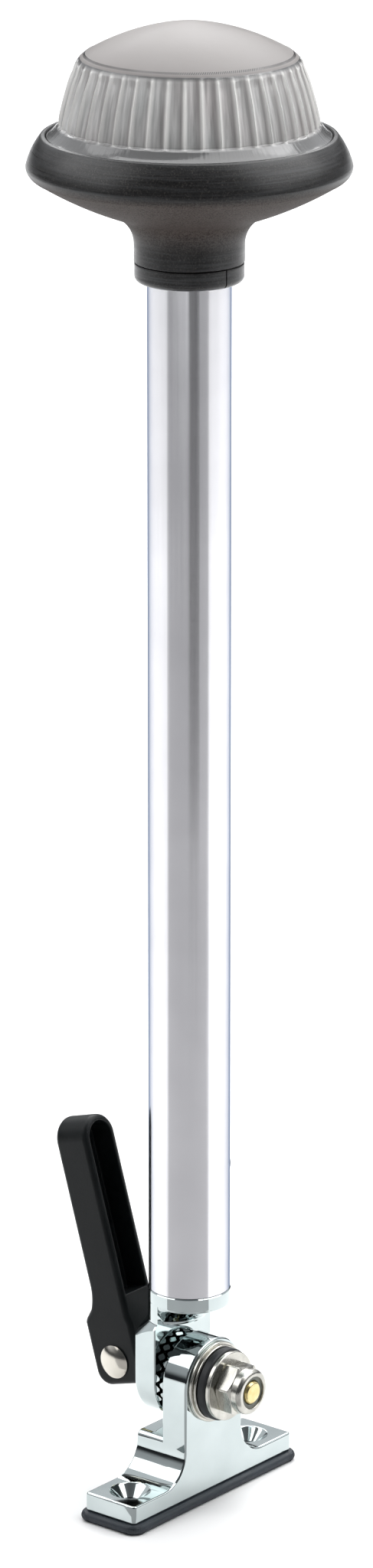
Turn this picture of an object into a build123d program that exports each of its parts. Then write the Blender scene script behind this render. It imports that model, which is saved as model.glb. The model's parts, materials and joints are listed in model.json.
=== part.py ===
"""Folding all-round navigation light: deck base, toothed knuckle, cam lever, pole and lamp head.

Millimetres. +Z up, X along the pivot bolt (nut towards +X, lever towards -X),
Y along the base. The origin is the centre of the face that sits on the deck.
"""
import os
from math import cos, radians, sin, sqrt

from build123d import *

os.makedirs("parts", exist_ok=True)

# ---------------------------------------------------------------- driving dimensions
gasket_thick = 3.0
gasket_width = 24.0
gasket_length = 82.6
base_width = 20.0
base_length = 78.7
plate_thick = 6.1
screw_spacing = 58.7
screw_hole_r = 3.0
countersink_r = 6.4
sweep_r = 10.4                      # concave arcs either side of the centre block
block_half = 14.0                   # half length of the centre block and the pivot ear
block_height = 18.9                 # above the underside of the casting
pivot_height = 36.1                 # bolt axis above the underside of the casting
ear_inner = 0.3                     # X of the ear's toothed face
ear_r = 14.0

bolt_r = 4.0
running_gap = 0.05
bolt_end = 26.2
pin_x = -24.4                       # cam lever's pin
pin_r = 3.0

tooth_count = 24
tooth_height = 1.25
tooth_inner_r = 9.0
tooth_outer_r = 13.4
tooth_root_half = 5.5               # half angle of a tooth at its root, degrees
tooth_tip_half = 1.5
clutch_gap = 2.8                    # between the two toothed faces with the clutch released

knuckle_outer = -11.3
knuckle_half = 14.0
knuckle_shoulder = 52.9             # where the knuckle starts to narrow towards the collar
knuckle_shoulder_r = 18.0
neck_join = 58.4                    # where it has narrowed to the collar's own width
collar_r = 12.95
collar_low = 63.9
boss_low = 57.8                     # underside of the round boss below the collar
boss_r = 10.7
pole_low = 68.8
pole_r = 12.7
pole_wall = 1.25
spigot_length = 24.0
wire_bore_r = 5.0
rivet_z = pole_low + 12
rivet_r = 1.6

lean = 16.5                         # lever's outward lean at rest, degrees
lever_half = 7.25
lever_top = 78.5
lever_inner = 9.3
lever_outer = -3.8

head_low = 390.0                    # underside of the neck ring
ring_r = 16.5
ring_height = 5.9
neck_r = 16.65
lens_r = 42.6
rib_count = 44

casting_low = gasket_thick
plate_top = casting_low + plate_thick
block_top = casting_low + block_height
pivot_z = casting_low + pivot_height
knuckle_inner = ear_inner - clutch_gap
bolt_axis = Plane(origin=(0, 0, pivot_z), x_dir=(0, 1, 0), z_dir=(1, 0, 0))


def across(x):
    """Plane square to the pivot bolt at x: local x is the row's Y, local y is up from the bolt axis."""
    return bolt_axis.offset(x)


def save(piece, node):
    piece.part.label = node
    export_step(piece.part, f"parts/{node}.step")


def ring_about_bolt(x_low, x_high, outer, inner, edge=0.0):
    """Washer-like ring on the pivot bolt, with its outer corners rounded by edge."""
    with BuildPart() as ring:
        with BuildSketch(across(x_low)):
            Circle(outer)
            Circle(inner, mode=Mode.SUBTRACT)
        extrude(amount=x_high - x_low)
        if edge:
            fillet(ring.edges().filter_by(GeomType.CIRCLE).filter_by(lambda e: e.radius > outer - 0.01), edge)
    return ring


def rear_bore(z, radius, start=0.0):
    """Solid of a round hole along +Y at height z, from start outwards."""
    with BuildPart() as bore:
        with BuildSketch(Plane(origin=(0, start, z), x_dir=(1, 0, 0), z_dir=(0, 1, 0))):
            Circle(radius)
        extrude(amount=2 * pole_r)
    return bore.part


def clutch_tooth(face_x, side):
    """One radial tooth, pointing along Y, that rises from face_x towards side (+1 or -1)."""
    sunk = 0.3
    with BuildPart() as tooth:
        for radius in (tooth_inner_r, tooth_outer_r):
            root = radius * sin(radians(tooth_root_half))
            tip = radius * sin(radians(tooth_tip_half))
            with BuildSketch(Plane(origin=(0, radius, pivot_z), x_dir=(1, 0, 0), z_dir=(0, 1, 0))):
                with BuildLine():
                    Polyline(
                        (face_x - side * sunk, -root),
                        (face_x, -root),
                        (face_x + side * tooth_height, -tip),
                        (face_x + side * tooth_height, tip),
                        (face_x, root),
                        (face_x - side * sunk, root),
                        close=True,
                    )
                make_face()
        loft(ruled=True)
    return tooth.part


def clutch_teeth(face_x, side, first_angle):
    """The ring of radial teeth on one face."""
    tooth = clutch_tooth(face_x, side)
    axis = Axis((0, 0, pivot_z), (1, 0, 0))
    step = 360 / tooth_count
    return [tooth.rotate(axis, first_angle + index * step) for index in range(tooth_count)]


# ---------------------------------------------------------------- deck base
with BuildPart() as base_gasket:
    with BuildSketch():
        RectangleRounded(gasket_width, gasket_length, 4.2)
        with Locations((0, -screw_spacing / 2), (0, screw_spacing / 2)):
            Circle(screw_hole_r + 0.4, mode=Mode.SUBTRACT)
    extrude(amount=gasket_thick)
    outer_loop = base_gasket.faces().sort_by(Axis.Z)[-1].outer_wire().edges()
    fillet(outer_loop, 1.3)
save(base_gasket, "base_gasket")

ear_teeth = clutch_teeth(ear_inner, -1, 0.0)
with BuildPart() as base_casting:
    with BuildSketch(Plane.XY.offset(casting_low)):
        RectangleRounded(base_width, base_length, 1.3)
    extrude(amount=plate_thick)
    with BuildSketch(across(-base_width / 2)):
        arc_low = plate_top - pivot_z
        with BuildLine():
            l1 = Line((-block_half - sweep_r, arc_low - 1), (block_half + sweep_r, arc_low - 1))
            l2 = Line(l1 @ 1, (block_half + sweep_r, arc_low))
            a1 = RadiusArc(l2 @ 1, (block_half, arc_low + sweep_r), sweep_r)
            l3 = Line(a1 @ 1, (block_half, block_top - pivot_z))
            l4 = Line(l3 @ 1, (-block_half, block_top - pivot_z))
            l5 = Line(l4 @ 1, (-block_half, arc_low + sweep_r))
            a2 = RadiusArc(l5 @ 1, (-block_half - sweep_r, arc_low), sweep_r)
            Line(a2 @ 1, l1 @ 0)
        make_face()
    extrude(amount=base_width)
    long_edges = base_casting.edges().filter_by(Axis.X).filter_by_position(Axis.Z, block_top - 0.1, block_top + 0.1)
    fillet(long_edges, 2.3)
    with BuildSketch(across(ear_inner)):
        Circle(ear_r)
        with Locations((0, (casting_low + 1 - pivot_z) / 2)):
            Rectangle(2 * block_half, pivot_z - casting_low - 1)
    extrude(amount=base_width / 2 - ear_inner)
    add(ear_teeth)
    with BuildSketch(across(-base_width)):
        Circle(bolt_r + running_gap)
    extrude(amount=2 * base_width, mode=Mode.SUBTRACT)
    with Locations((0, -screw_spacing / 2, plate_top), (0, screw_spacing / 2, plate_top)):
        CounterSinkHole(screw_hole_r, countersink_r, depth=3 * plate_thick)
save(base_casting, "base_casting")

# ---------------------------------------------------------------- knuckle
rivet_bore = rear_bore(rivet_z, rivet_r)
knuckle_teeth = clutch_teeth(knuckle_inner, 1, 180 / tooth_count)
with BuildPart() as boss:             # skewed round boss that carries the collar out over the clutch
    middle_x = (knuckle_outer + knuckle_inner) / 2
    with BuildSketch(Plane.XY.offset(boss_low + 1)):
        with Locations((middle_x, 0)):
            Circle(boss_r)
    with BuildSketch(Plane.XY.offset(collar_low + 0.5)):
        Circle(collar_r - 0.3)
    loft(ruled=True)
    with BuildSketch(Plane.XY.offset(boss_low)):
        with Locations((middle_x, 0)):
            Circle(boss_r)
    extrude(amount=1)
    with Locations((knuckle_inner - 1 - 2 * boss_r, 0, collar_low)):
        Box(4 * boss_r, 4 * boss_r, 20, mode=Mode.SUBTRACT)
knuckle_boss = boss.part
with BuildPart() as knuckle:
    with BuildSketch(across(knuckle_outer)):
        Circle(knuckle_half)
        with BuildLine():
            Polyline(
                (-knuckle_half, 0),
                (knuckle_half, 0),
                (knuckle_half, collar_low + 1 - pivot_z),
                (-knuckle_half, collar_low + 1 - pivot_z),
                close=True,
            )
        make_face()
    extrude(amount=knuckle_inner - knuckle_outer)
    fillet(knuckle.faces().sort_by(Axis.X)[0].edges(), 1.6)
    with BuildSketch(Plane.XZ):
        with BuildLine():
            upper = [(knuckle_shoulder_r, knuckle_shoulder), (collar_r - 0.05, neck_join), (collar_r - 0.05, collar_low + 2)]
            Polyline((0, 20), (19, 20), (19, knuckle_shoulder - 1), *upper, (0, collar_low + 2), close=True)
        make_face()
    revolve(axis=Axis.Z, mode=Mode.INTERSECT)
    add(knuckle_boss)
    with BuildSketch(Plane.XZ):
        with BuildLine():
            c1 = Line((0, collar_low), (collar_r - 1, collar_low))
            c2 = RadiusArc(c1 @ 1, (collar_r, collar_low + 1), -1)
            spigot = [(pole_r - pole_wall - 0.1, pole_low), (pole_r - pole_wall - 0.1, pole_low + spigot_length)]
            Polyline(c2 @ 1, (collar_r, pole_low), *spigot, (0, pole_low + spigot_length), c1 @ 0)
        make_face()
    revolve(axis=Axis.Z)
    add(knuckle_teeth)
    with BuildSketch(across(2 * knuckle_outer)):
        Circle(bolt_r + running_gap)
    extrude(amount=base_width * 2, mode=Mode.SUBTRACT)
    with BuildSketch(Plane.XY.offset(collar_low + 2)):
        Circle(wire_bore_r)
    extrude(amount=spigot_length + pole_low, mode=Mode.SUBTRACT)
    add(rivet_bore, mode=Mode.SUBTRACT)
save(knuckle, "knuckle")

# ---------------------------------------------------------------- pivot bolt and its stack
with BuildPart() as pivot_bolt:
    with BuildSketch(Plane.XZ.offset(-3.8)):
        with Locations((pin_x, pivot_z)):
            Circle(6.0)
        with Locations((pin_x + 4, pivot_z)):
            Rectangle(8, 2 * bolt_r)
        with Locations((pin_x, pivot_z)):
            Circle(pin_r + running_gap, mode=Mode.SUBTRACT)
    extrude(amount=7.6)
    with BuildSketch(across(pin_x + 5.6)):
        Circle(bolt_r)
    extrude(amount=bolt_end - pin_x - 5.6)
    chamfer(pivot_bolt.faces().sort_by(Axis.X)[-1].edges(), 0.9)
save(pivot_bolt, "pivot_bolt")

ear_outer = base_width / 2
stack_x = [ear_outer + running_gap, ear_outer + 1.2, ear_outer + 2.2, ear_outer + 5.2, ear_outer + 6.8]
save(ring_about_bolt(stack_x[0], stack_x[1], 12.9, bolt_r, 0.3), "thrust_washer")
save(ring_about_bolt(stack_x[1], stack_x[2], 12.1, bolt_r, 0.3), "backing_washer")
save(ring_about_bolt(stack_x[2], stack_x[3], 11.6, bolt_r, 0.5), "rubber_washer")
save(ring_about_bolt(stack_x[3], stack_x[4], 11.1, bolt_r, 0.3), "outer_washer")

nut_flats = 15.0
nut_corner_r = 8.2
nut_hex_end = stack_x[4] + 5.7
nut_end = stack_x[4] + 9.0
nut_collar_r = 7.3
nut_insert_r = 5.1
bolt_half_plane = Plane(origin=(0, 0, pivot_z), x_dir=(1, 0, 0), z_dir=(0, 0, 1))
bolt_line = Axis((0, 0, pivot_z), (1, 0, 0))
with BuildPart() as lock_nut:
    with BuildSketch(across(stack_x[4])):
        RegularPolygon(nut_flats / 2, 6, major_radius=False, rotation=12)
    extrude(amount=nut_hex_end - stack_x[4])
    with BuildSketch(bolt_half_plane):
        with BuildLine():
            Polyline(
                (stack_x[4], 0),
                (stack_x[4], nut_flats / 2 - 0.1),
                (stack_x[4] + 0.5, nut_corner_r),
                (nut_hex_end - 0.6, nut_corner_r + 0.3),
                (nut_hex_end, nut_flats / 2 - 0.3),
                (nut_hex_end, 0),
                close=True,
            )
        make_face()
    revolve(axis=bolt_line, mode=Mode.INTERSECT)
    with BuildSketch(across(nut_hex_end)):
        Circle(nut_collar_r)
    extrude(amount=nut_end - nut_hex_end)
    fillet(lock_nut.faces().sort_by(Axis.X)[-1].edges(), 1.6)
    with BuildSketch(across(stack_x[4])):
        Circle(bolt_r)
    extrude(amount=nut_end, mode=Mode.SUBTRACT)
    with BuildSketch(across(nut_hex_end)):
        Circle(nut_insert_r)
    extrude(amount=nut_end, mode=Mode.SUBTRACT)
save(lock_nut, "lock_nut")
save(ring_about_bolt(nut_hex_end, nut_end - 0.8, nut_insert_r, bolt_r), "nut_insert")

# ---------------------------------------------------------------- cam lever
# In the lever's own frame u points from the pin to the pole and v runs up the handle.
u_axis = (cos(radians(lean)), 0, sin(radians(lean)))
lever_side = Plane(origin=(pin_x, 0, pivot_z), x_dir=u_axis, z_dir=(0, -1, 0))
lever_face = Plane(origin=(pin_x, 0, pivot_z), x_dir=(0, 1, 0), z_dir=u_axis)
block_outer = -9.0
block_inner = 10.0
block_low = -7.8
block_shoulder = 14.0
eye_half = 3.8
eye_r = 6.0
slot_r = 6.6
slot_half = 4.3
channel_half = 5.1
channel_floor = 1.2
channel_low = 21.0
with BuildPart() as lever:
    with BuildSketch(lever_side):
        with BuildLine():
            Polyline(
                (block_inner, block_low),
                (block_outer, block_low),
                (block_outer, block_shoulder),
                (lever_outer - 1.6, block_shoulder + 4.0),
                (lever_outer, block_shoulder + 9.5),
                (lever_outer, lever_top),
                (lever_inner, lever_top),
                (lever_inner, block_shoulder),
                (block_inner, block_shoulder - 2),
                close=True,
            )
        make_face()
    extrude(amount=lever_half, both=True)
    with BuildSketch(lever_face.offset(2 * block_outer)):
        with Locations((0, lever_top - lever_half)):
            Circle(lever_half)
        with Locations((0, (lever_top - lever_half + 2 * block_low) / 2)):
            Rectangle(2 * lever_half, lever_top - lever_half - 2 * block_low)
    extrude(amount=-4 * block_outer, mode=Mode.INTERSECT)
    with BuildSketch(lever_face.offset(lever_inner + 1)):
        with Locations((0, lever_top - 2.1 - channel_half)):
            Circle(channel_half)
        with Locations((0, (lever_top - 2.1 - channel_half + channel_low) / 2)):
            Rectangle(2 * channel_half, lever_top - 2.1 - channel_half - channel_low)
    extrude(amount=channel_floor - lever_inner - 1, mode=Mode.SUBTRACT)
    with BuildSketch(lever_side):
        Circle(slot_r)
        with Locations((10 - slot_r, -10)):
            Rectangle(20, 20)
        with Locations((10, slot_r - 10)):
            Rectangle(20, 20)
    extrude(amount=slot_half, both=True, mode=Mode.SUBTRACT)
    with BuildSketch(lever_side):
        Circle(pin_r)
    extrude(amount=2 * lever_half, both=True, mode=Mode.SUBTRACT)
save(lever, "lever")

pin_head_r = 5.4
pin_head_height = 2.0
with BuildPart() as lever_pin:
    with BuildSketch(Plane(origin=(pin_x, 0, pivot_z), x_dir=(1, 0, 0), z_dir=(0, 0, 1))):
        with BuildLine():
            Polyline((0, -lever_half), (pin_r, -lever_half), (pin_r, lever_half), (0, lever_half), close=True)
        make_face()
        for side in (-1, 1):
            with BuildLine():
                tip = (0, side * (lever_half + pin_head_height))
                rim = (pin_head_r, side * (lever_half + 0.5))
                seat = (pin_head_r, side * lever_half)
                TangentArc(tip, rim, tangent=(1, 0))
                Polyline(rim, seat, (0, side * lever_half), tip)
            make_face()
    revolve(axis=Axis((pin_x, 0, pivot_z), (0, 1, 0)))
save(lever_pin, "lever_pin")

# ---------------------------------------------------------------- pole
pole_top = head_low + 25.9
grommet_z = pole_low + 38
grommet_r = 4.2
neck_screw_z = head_low + 10.5
neck_screw_r = 1.5
lead_x = 2.0
lead_r = 1.0


pole_bores = [rear_bore(rivet_z, rivet_r), rear_bore(grommet_z, grommet_r), rear_bore(neck_screw_z, neck_screw_r)]
with BuildPart() as pole:
    with BuildSketch(Plane.XY.offset(pole_low)):
        Circle(pole_r)
        Circle(pole_r - pole_wall, mode=Mode.SUBTRACT)
    extrude(amount=pole_top - pole_low)
    add(pole_bores, mode=Mode.SUBTRACT)
save(pole, "pole")

with BuildPart() as pole_rivet:
    with BuildSketch(Plane(origin=(0, 7, rivet_z), x_dir=(1, 0, 0), z_dir=(0, 1, 0))):
        Circle(rivet_r)
    extrude(amount=pole_r - 7)
    with BuildSketch(Plane(origin=(0, 0, rivet_z), x_dir=(0, 0, 1), z_dir=(1, 0, 0))):
        with BuildLine():
            TangentArc((0, -pole_r - 1.3), (3.1, -pole_r - 0.3), tangent=(1, 0))
            Polyline((3.1, -pole_r - 0.3), (3.1, -pole_r + 1.0), (0, -pole_r + 1.0), (0, -pole_r - 1.3))
        make_face()
    revolve(axis=Axis((0, 0, rivet_z), (0, 1, 0)))
    with BuildSketch(Plane.XY.offset(pole_low)):
        Circle(pole_r)
    extrude(amount=spigot_length, mode=Mode.SUBTRACT)
    with BuildSketch(Plane(origin=(0, 7, rivet_z), x_dir=(1, 0, 0), z_dir=(0, 1, 0))):
        Circle(rivet_r)
    extrude(amount=pole_r - 7 + 0.5)
save(pole_rivet, "pole_rivet")

with BuildPart() as wire_grommet:
    rear = Plane(origin=(0, 0, grommet_z), x_dir=(1, 0, 0), z_dir=(0, 1, 0))
    with BuildSketch(rear.offset(pole_r - 1)):
        Circle(grommet_r + 1.3)
    extrude(amount=2.4)
    with BuildSketch(Plane.XY.offset(grommet_z - 2 * grommet_r)):
        Circle(pole_r)
    extrude(amount=4 * grommet_r, mode=Mode.SUBTRACT)
    fillet(wire_grommet.faces().sort_by(Axis.Y)[-1].edges(), 0.6)
    with BuildSketch(rear.offset(pole_r - pole_wall - 1)):
        Circle(grommet_r)
    extrude(amount=pole_wall + 1.5)
    with BuildSketch(rear):
        with Locations((-lead_x, 0), (lead_x, 0)):
            Circle(lead_r)
    extrude(amount=2 * pole_r, mode=Mode.SUBTRACT)
save(wire_grommet, "wire_grommet")

for node, lead_side in (("lead_red", -1), ("lead_black", 1)):
    with BuildPart() as lead:
        with BuildLine():
            route = FilletPolyline(
                (lead_side * lead_x, 0, head_low + 25),
                (lead_side * lead_x, 0, grommet_z),
                (lead_side * lead_x, pole_r + 1.4, grommet_z),
                radius=7.0,
            )
        with BuildSketch(Plane(origin=route @ 0, z_dir=route % 0)):
            Circle(lead_r)
        sweep()
    save(lead, node)

# ---------------------------------------------------------------- lamp head
# Profiles are (radius, height above the underside of the neck ring).
head_section = Plane(origin=(0, 0, head_low), x_dir=(1, 0, 0), z_dir=(0, -1, 0))
socket_bore = pole_r + running_gap
ledge_r = 39.4
ledge_low = 35.0
groove_r = 41.2
groove_top = 38.2
seat_height = 41.0
flange_low = 42.05
flange_top = 44.2
plate_low = 31.0
twist_range = 25.0
lug_width = 20.0


def sector(r_low, r_high, h_low, h_high, start, sweep_angle):
    """Piece of a ring about Z between two radii, two heights and two angles."""
    with BuildPart() as piece:
        with BuildSketch(head_section):
            with Locations(((r_low + r_high) / 2, (h_low + h_high) / 2)):
                Rectangle(r_high - r_low, h_high - h_low)
        revolve(axis=Axis.Z, revolution_arc=sweep_angle)
    return piece.part.rotate(Axis.Z, start)


with BuildPart() as neck_ring:
    with BuildSketch(Plane.XY.offset(head_low)):
        Circle(ring_r)
        Circle(socket_bore, mode=Mode.SUBTRACT)
    extrude(amount=ring_height)
    fillet(neck_ring.edges().filter_by(GeomType.CIRCLE).group_by(Axis.Z)[0].sort_by(SortBy.RADIUS)[-1], 1.7)
    split_angle = -9
    with BuildSketch(Plane.XY.offset(head_low).rotated((0, 0, split_angle))):
        with Locations((ring_r, 0)):
            Rectangle(ring_r, 0.5)
    extrude(amount=ring_height, mode=Mode.SUBTRACT)
save(neck_ring, "neck_ring")

neck_bores = [rear_bore(neck_screw_z, neck_screw_r, pole_r - 1), rear_bore(neck_screw_z, 2.7, neck_r - 1.6)]
lug_entries = [
    sector(ledge_r - 1, groove_r, groove_top - 1, seat_height, twist_range - 2 + turn, lug_width + 4)
    for turn in (0, 120, 240)
]
with BuildPart() as head_housing:
    with BuildSketch(head_section):
        with BuildLine():
            neck = FilletPolyline((neck_r, ring_height + 0.15), (neck_r, 18.0), (24.0, 20.8), radius=9.5)
            under = ThreePointArc((24.0, 20.8), (36.7, 26.2), (46.2, 31.5))
            rim = ThreePointArc((46.2, 31.5), (48.2, 33.2), (48.8, 35.0))
            shoulder = ThreePointArc((48.8, 35.0), (47.2, 39.6), (44.2, 44.4))
            Polyline(
                (44.2, 44.4),
                (lens_r + 0.2, 44.4),
                (lens_r + 0.2, seat_height),
                (ledge_r, seat_height),
                (ledge_r, groove_top),
                (groove_r, groove_top),
                (groove_r, ledge_low),
                (ledge_r, ledge_low),
                (ledge_r, plate_low),
                (34.0, plate_low),
                (33.0, 28.0),
                (20.0, 23.6),
                (15.4, 23.6),
                (15.4, 29.0),
                (10.0, 29.0),
                (10.0, 26.0),
                (socket_bore, 26.0),
                (socket_bore, ring_height + 0.15),
                (neck_r, ring_height + 0.15),
            )
        make_face()
    revolve(axis=Axis.Z)
    add(lug_entries, mode=Mode.SUBTRACT)
    add(neck_bores, mode=Mode.SUBTRACT)
    with BuildSketch(Plane.XY.offset(head_low + plate_low - 3)):
        with PolarLocations(36.4, 3, start_angle=30):
            Circle(1.2)
    extrude(amount=3, mode=Mode.SUBTRACT)
save(head_housing, "head_housing")

with BuildPart() as neck_screw:
    with BuildSketch(Plane(origin=(0, pole_r - 2, neck_screw_z), x_dir=(1, 0, 0), z_dir=(0, 1, 0))):
        Circle(neck_screw_r)
    extrude(amount=neck_r - 1.6 - pole_r + 2)
    with BuildSketch(Plane(origin=(0, neck_r - 1.6, neck_screw_z), x_dir=(1, 0, 0), z_dir=(0, 1, 0))):
        Circle(2.5)
    extrude(amount=1.3)
    fillet(neck_screw.faces().sort_by(Axis.Y)[-1].edges(), 0.4)
    with BuildSketch(Plane(origin=(0, neck_r - 0.9, neck_screw_z), x_dir=(1, 0, 0), z_dir=(0, 1, 0))):
        Rectangle(3.4, 0.7)
        Rectangle(0.7, 3.4)
    extrude(amount=2, mode=Mode.SUBTRACT)
save(neck_screw, "neck_screw")

with BuildPart() as lens_seal:
    with BuildSketch(Plane.XY.offset(head_low + seat_height)):
        Circle(lens_r)
        Circle(groove_r + 0.1, mode=Mode.SUBTRACT)
    extrude(amount=flange_low - seat_height - running_gap)
save(lens_seal, "lens_seal")

rib_height = 0.55
rib_width = 1.5                     # degrees
skirt_top = flange_top + 3.2       # the ribbed wall stands on a sloping skirt
wall_low = (38.4, skirt_top)
wall_mid = (36.8, 54.8)
wall_top = (33.4, 65.4)
with BuildPart() as rib_piece:
    with BuildSketch(head_section):
        with BuildLine():
            ThreePointArc(
                (wall_low[0] + rib_height, wall_low[1]),
                (wall_mid[0] + rib_height, wall_mid[1]),
                (wall_top[0] + rib_height, wall_top[1]),
            )
            Polyline(
                (wall_top[0] + rib_height, wall_top[1]),
                (wall_top[0] - 0.3, wall_top[1] + 0.9),
                (wall_low[0] - 1.2, wall_low[1]),
                (wall_low[0] + rib_height, wall_low[1]),
            )
        make_face()
    revolve(axis=Axis.Z, revolution_arc=rib_width)
lens_ribs = [rib_piece.part.rotate(Axis.Z, index * 360 / rib_count) for index in range(rib_count)]
lens_lugs = [sector(38.5, 40.9, ledge_low + 0.4, groove_top - 0.4, turn, lug_width) for turn in (0, 120, 240)]
with BuildPart() as lens:
    with BuildSketch(head_section):
        with BuildLine():
            ThreePointArc(wall_low, wall_mid, wall_top)
            ThreePointArc(wall_top, (32.9, 67.0), (31.2, 68.5))
            Spline((31.2, 68.5), (16.5, 75.2), (0, 78.3), tangents=((-1, 0.62), (-1, 0)))
            Line((0, 78.3), (0, 76.3))
            Spline((0, 76.3), (15.8, 73.3), (29.8, 66.8), tangents=((1, 0), (1, -0.62)))
            ThreePointArc((29.8, 66.8), (30.9, 65.9), (31.3, 64.8))
            Polyline(
                (31.3, 64.8),
                (36.9, 44.0),
                (36.9, ledge_low + 0.4),
                (38.9, ledge_low + 0.4),
                (38.9, flange_low),
                (lens_r, flange_low),
                (lens_r, flange_top - 0.4),
                (lens_r - 0.4, flange_top),
                (39.5, skirt_top - 0.3),
                wall_low,
            )
        make_face()
    revolve(axis=Axis.Z)
    add(lens_ribs)
    add(lens_lugs)
save(lens, "lens")

# ---------------------------------------------------------------- lamp and its holder
plate_top_h = plate_low + 1.8
with BuildPart() as holder_plate:
    with BuildSketch(Plane.XY.offset(head_low + plate_low)):
        Circle(39.1)
        Circle(8.6, mode=Mode.SUBTRACT)
        with PolarLocations(36.4, 3, start_angle=30):
            Circle(1.3, mode=Mode.SUBTRACT)
    extrude(amount=plate_top_h - plate_low)
save(holder_plate, "holder_plate")

with BuildPart() as plate_screws:
    with BuildSketch(Plane.XY.offset(head_low + plate_low - 2.8)):
        with PolarLocations(36.4, 3, start_angle=30):
            Circle(1.2)
    extrude(amount=plate_top_h - plate_low + 2.8)
    with BuildSketch(Plane.XY.offset(head_low + plate_top_h)):
        with PolarLocations(36.4, 3, start_angle=30):
            Circle(2.2)
    extrude(amount=1.3)
    fillet(plate_screws.faces().group_by(Axis.Z)[-1].edges(), 0.5)
    with BuildSketch(Plane.XY.offset(head_low + plate_top_h + 0.7)):
        with PolarLocations(36.4, 3, start_angle=30):
            Rectangle(3.0, 0.6)
            Rectangle(0.6, 3.0)
    extrude(amount=2, mode=Mode.SUBTRACT)
save(plate_screws, "plate_screws")

with BuildPart() as lamp_socket:
    with BuildSketch(head_section):
        with BuildLine():
            Polyline(
                (7.75, 26.5),
                (8.5, 26.5),
                (8.5, plate_top_h),
                (11.0, plate_top_h),
                (11.0, plate_top_h + 0.8),
                (8.5, plate_top_h + 0.8),
                (8.5, 44.0),
                (7.75, 44.0),
                close=True,
            )
        make_face()
    revolve(axis=Axis.Z)
    with BuildSketch(Plane.XY.offset(head_low + 39.5)):
        Rectangle(2.4, 20)
    extrude(amount=5, mode=Mode.SUBTRACT)
save(lamp_socket, "lamp_socket")

with BuildPart() as socket_insulator:
    with BuildSketch(Plane.XY.offset(head_low + 27.0)):
        Circle(7.75)
        with Locations((-lead_x, 0), (lead_x, 0)):
            Circle(1.1, mode=Mode.SUBTRACT)
    extrude(amount=3.5)
save(socket_insulator, "socket_insulator")

for node, contact_side in (("contact_left", -1), ("contact_right", 1)):
    with BuildPart() as contact:
        with BuildSketch(Plane.XY.offset(head_low + 25.0)):
            with Locations((contact_side * lead_x, 0)):
                Circle(1.1)
        extrude(amount=10.4)
        with BuildSketch(Plane.XY.offset(head_low + 30.5)):
            with Locations((contact_side * lead_x, 0)):
                Circle(1.7)
        extrude(amount=1.0)
        fillet(contact.faces().sort_by(Axis.Z)[-1].edges(), 0.6)
    save(contact, node)

with BuildPart() as bulb_cap:
    with BuildSketch(head_section):
        with BuildLine():
            Polyline((0, 36), (6.4, 36), (7.4, 37), (7.4, 48), (6.7, 48), (6.7, 38), (0, 38), close=True)
        make_face()
    revolve(axis=Axis.Z)
    with BuildSketch(Plane(origin=(0, -9, head_low + 41), x_dir=(1, 0, 0), z_dir=(0, 1, 0))):
        Circle(1.0)
    extrude(amount=18)
    with BuildSketch(Plane.XY.offset(head_low + 38)):
        Circle(6.7)
    extrude(amount=10, mode=Mode.SUBTRACT)
    with BuildSketch(Plane.XY.offset(head_low + 35.4)):
        with Locations((-lead_x, 0), (lead_x, 0)):
            Circle(1.5)
    extrude(amount=1.0)
save(bulb_cap, "bulb_cap")

globe_h = 57.0
globe_r = 9.0
glass_wall = 0.7
glass_neck_r = 6.6
glass_low = 40.0
inner_r = globe_r - glass_wall
neck_join = globe_h - sqrt(globe_r**2 - glass_neck_r**2)
inner_join = globe_h - sqrt(inner_r**2 - (glass_neck_r - glass_wall) ** 2)
with BuildPart() as bulb_glass:
    with BuildSketch(head_section):
        with BuildLine():
            Line((glass_neck_r, glass_low), (glass_neck_r, neck_join))
            ThreePointArc((glass_neck_r, neck_join), (globe_r, globe_h), (0, globe_h + globe_r))
            Line((0, globe_h + globe_r), (0, globe_h + inner_r))
            ThreePointArc((0, globe_h + inner_r), (inner_r, globe_h), (glass_neck_r - glass_wall, inner_join))
            Polyline(
                (glass_neck_r - glass_wall, inner_join),
                (glass_neck_r - glass_wall, glass_low),
                (glass_neck_r, glass_low),
            )
        make_face()
    revolve(axis=Axis.Z)
save(bulb_glass, "bulb_glass")

with BuildPart() as filament:
    post_top = head_low + 57
    with BuildSketch(Plane.XY.offset(head_low + 38)):
        with Locations((-lead_x, 0), (lead_x, 0)):
            Circle(0.35)
    extrude(amount=19)
    with BuildSketch(Plane.YZ.offset(-lead_x - 0.3)):
        with Locations((0, post_top)):
            Circle(0.45)
    extrude(amount=2 * lead_x + 0.6)
    with BuildSketch(Plane.XY.offset(head_low + 38)):
        Circle(3.0)
    extrude(amount=4)
save(filament, "filament")
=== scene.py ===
import json
import math

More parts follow.
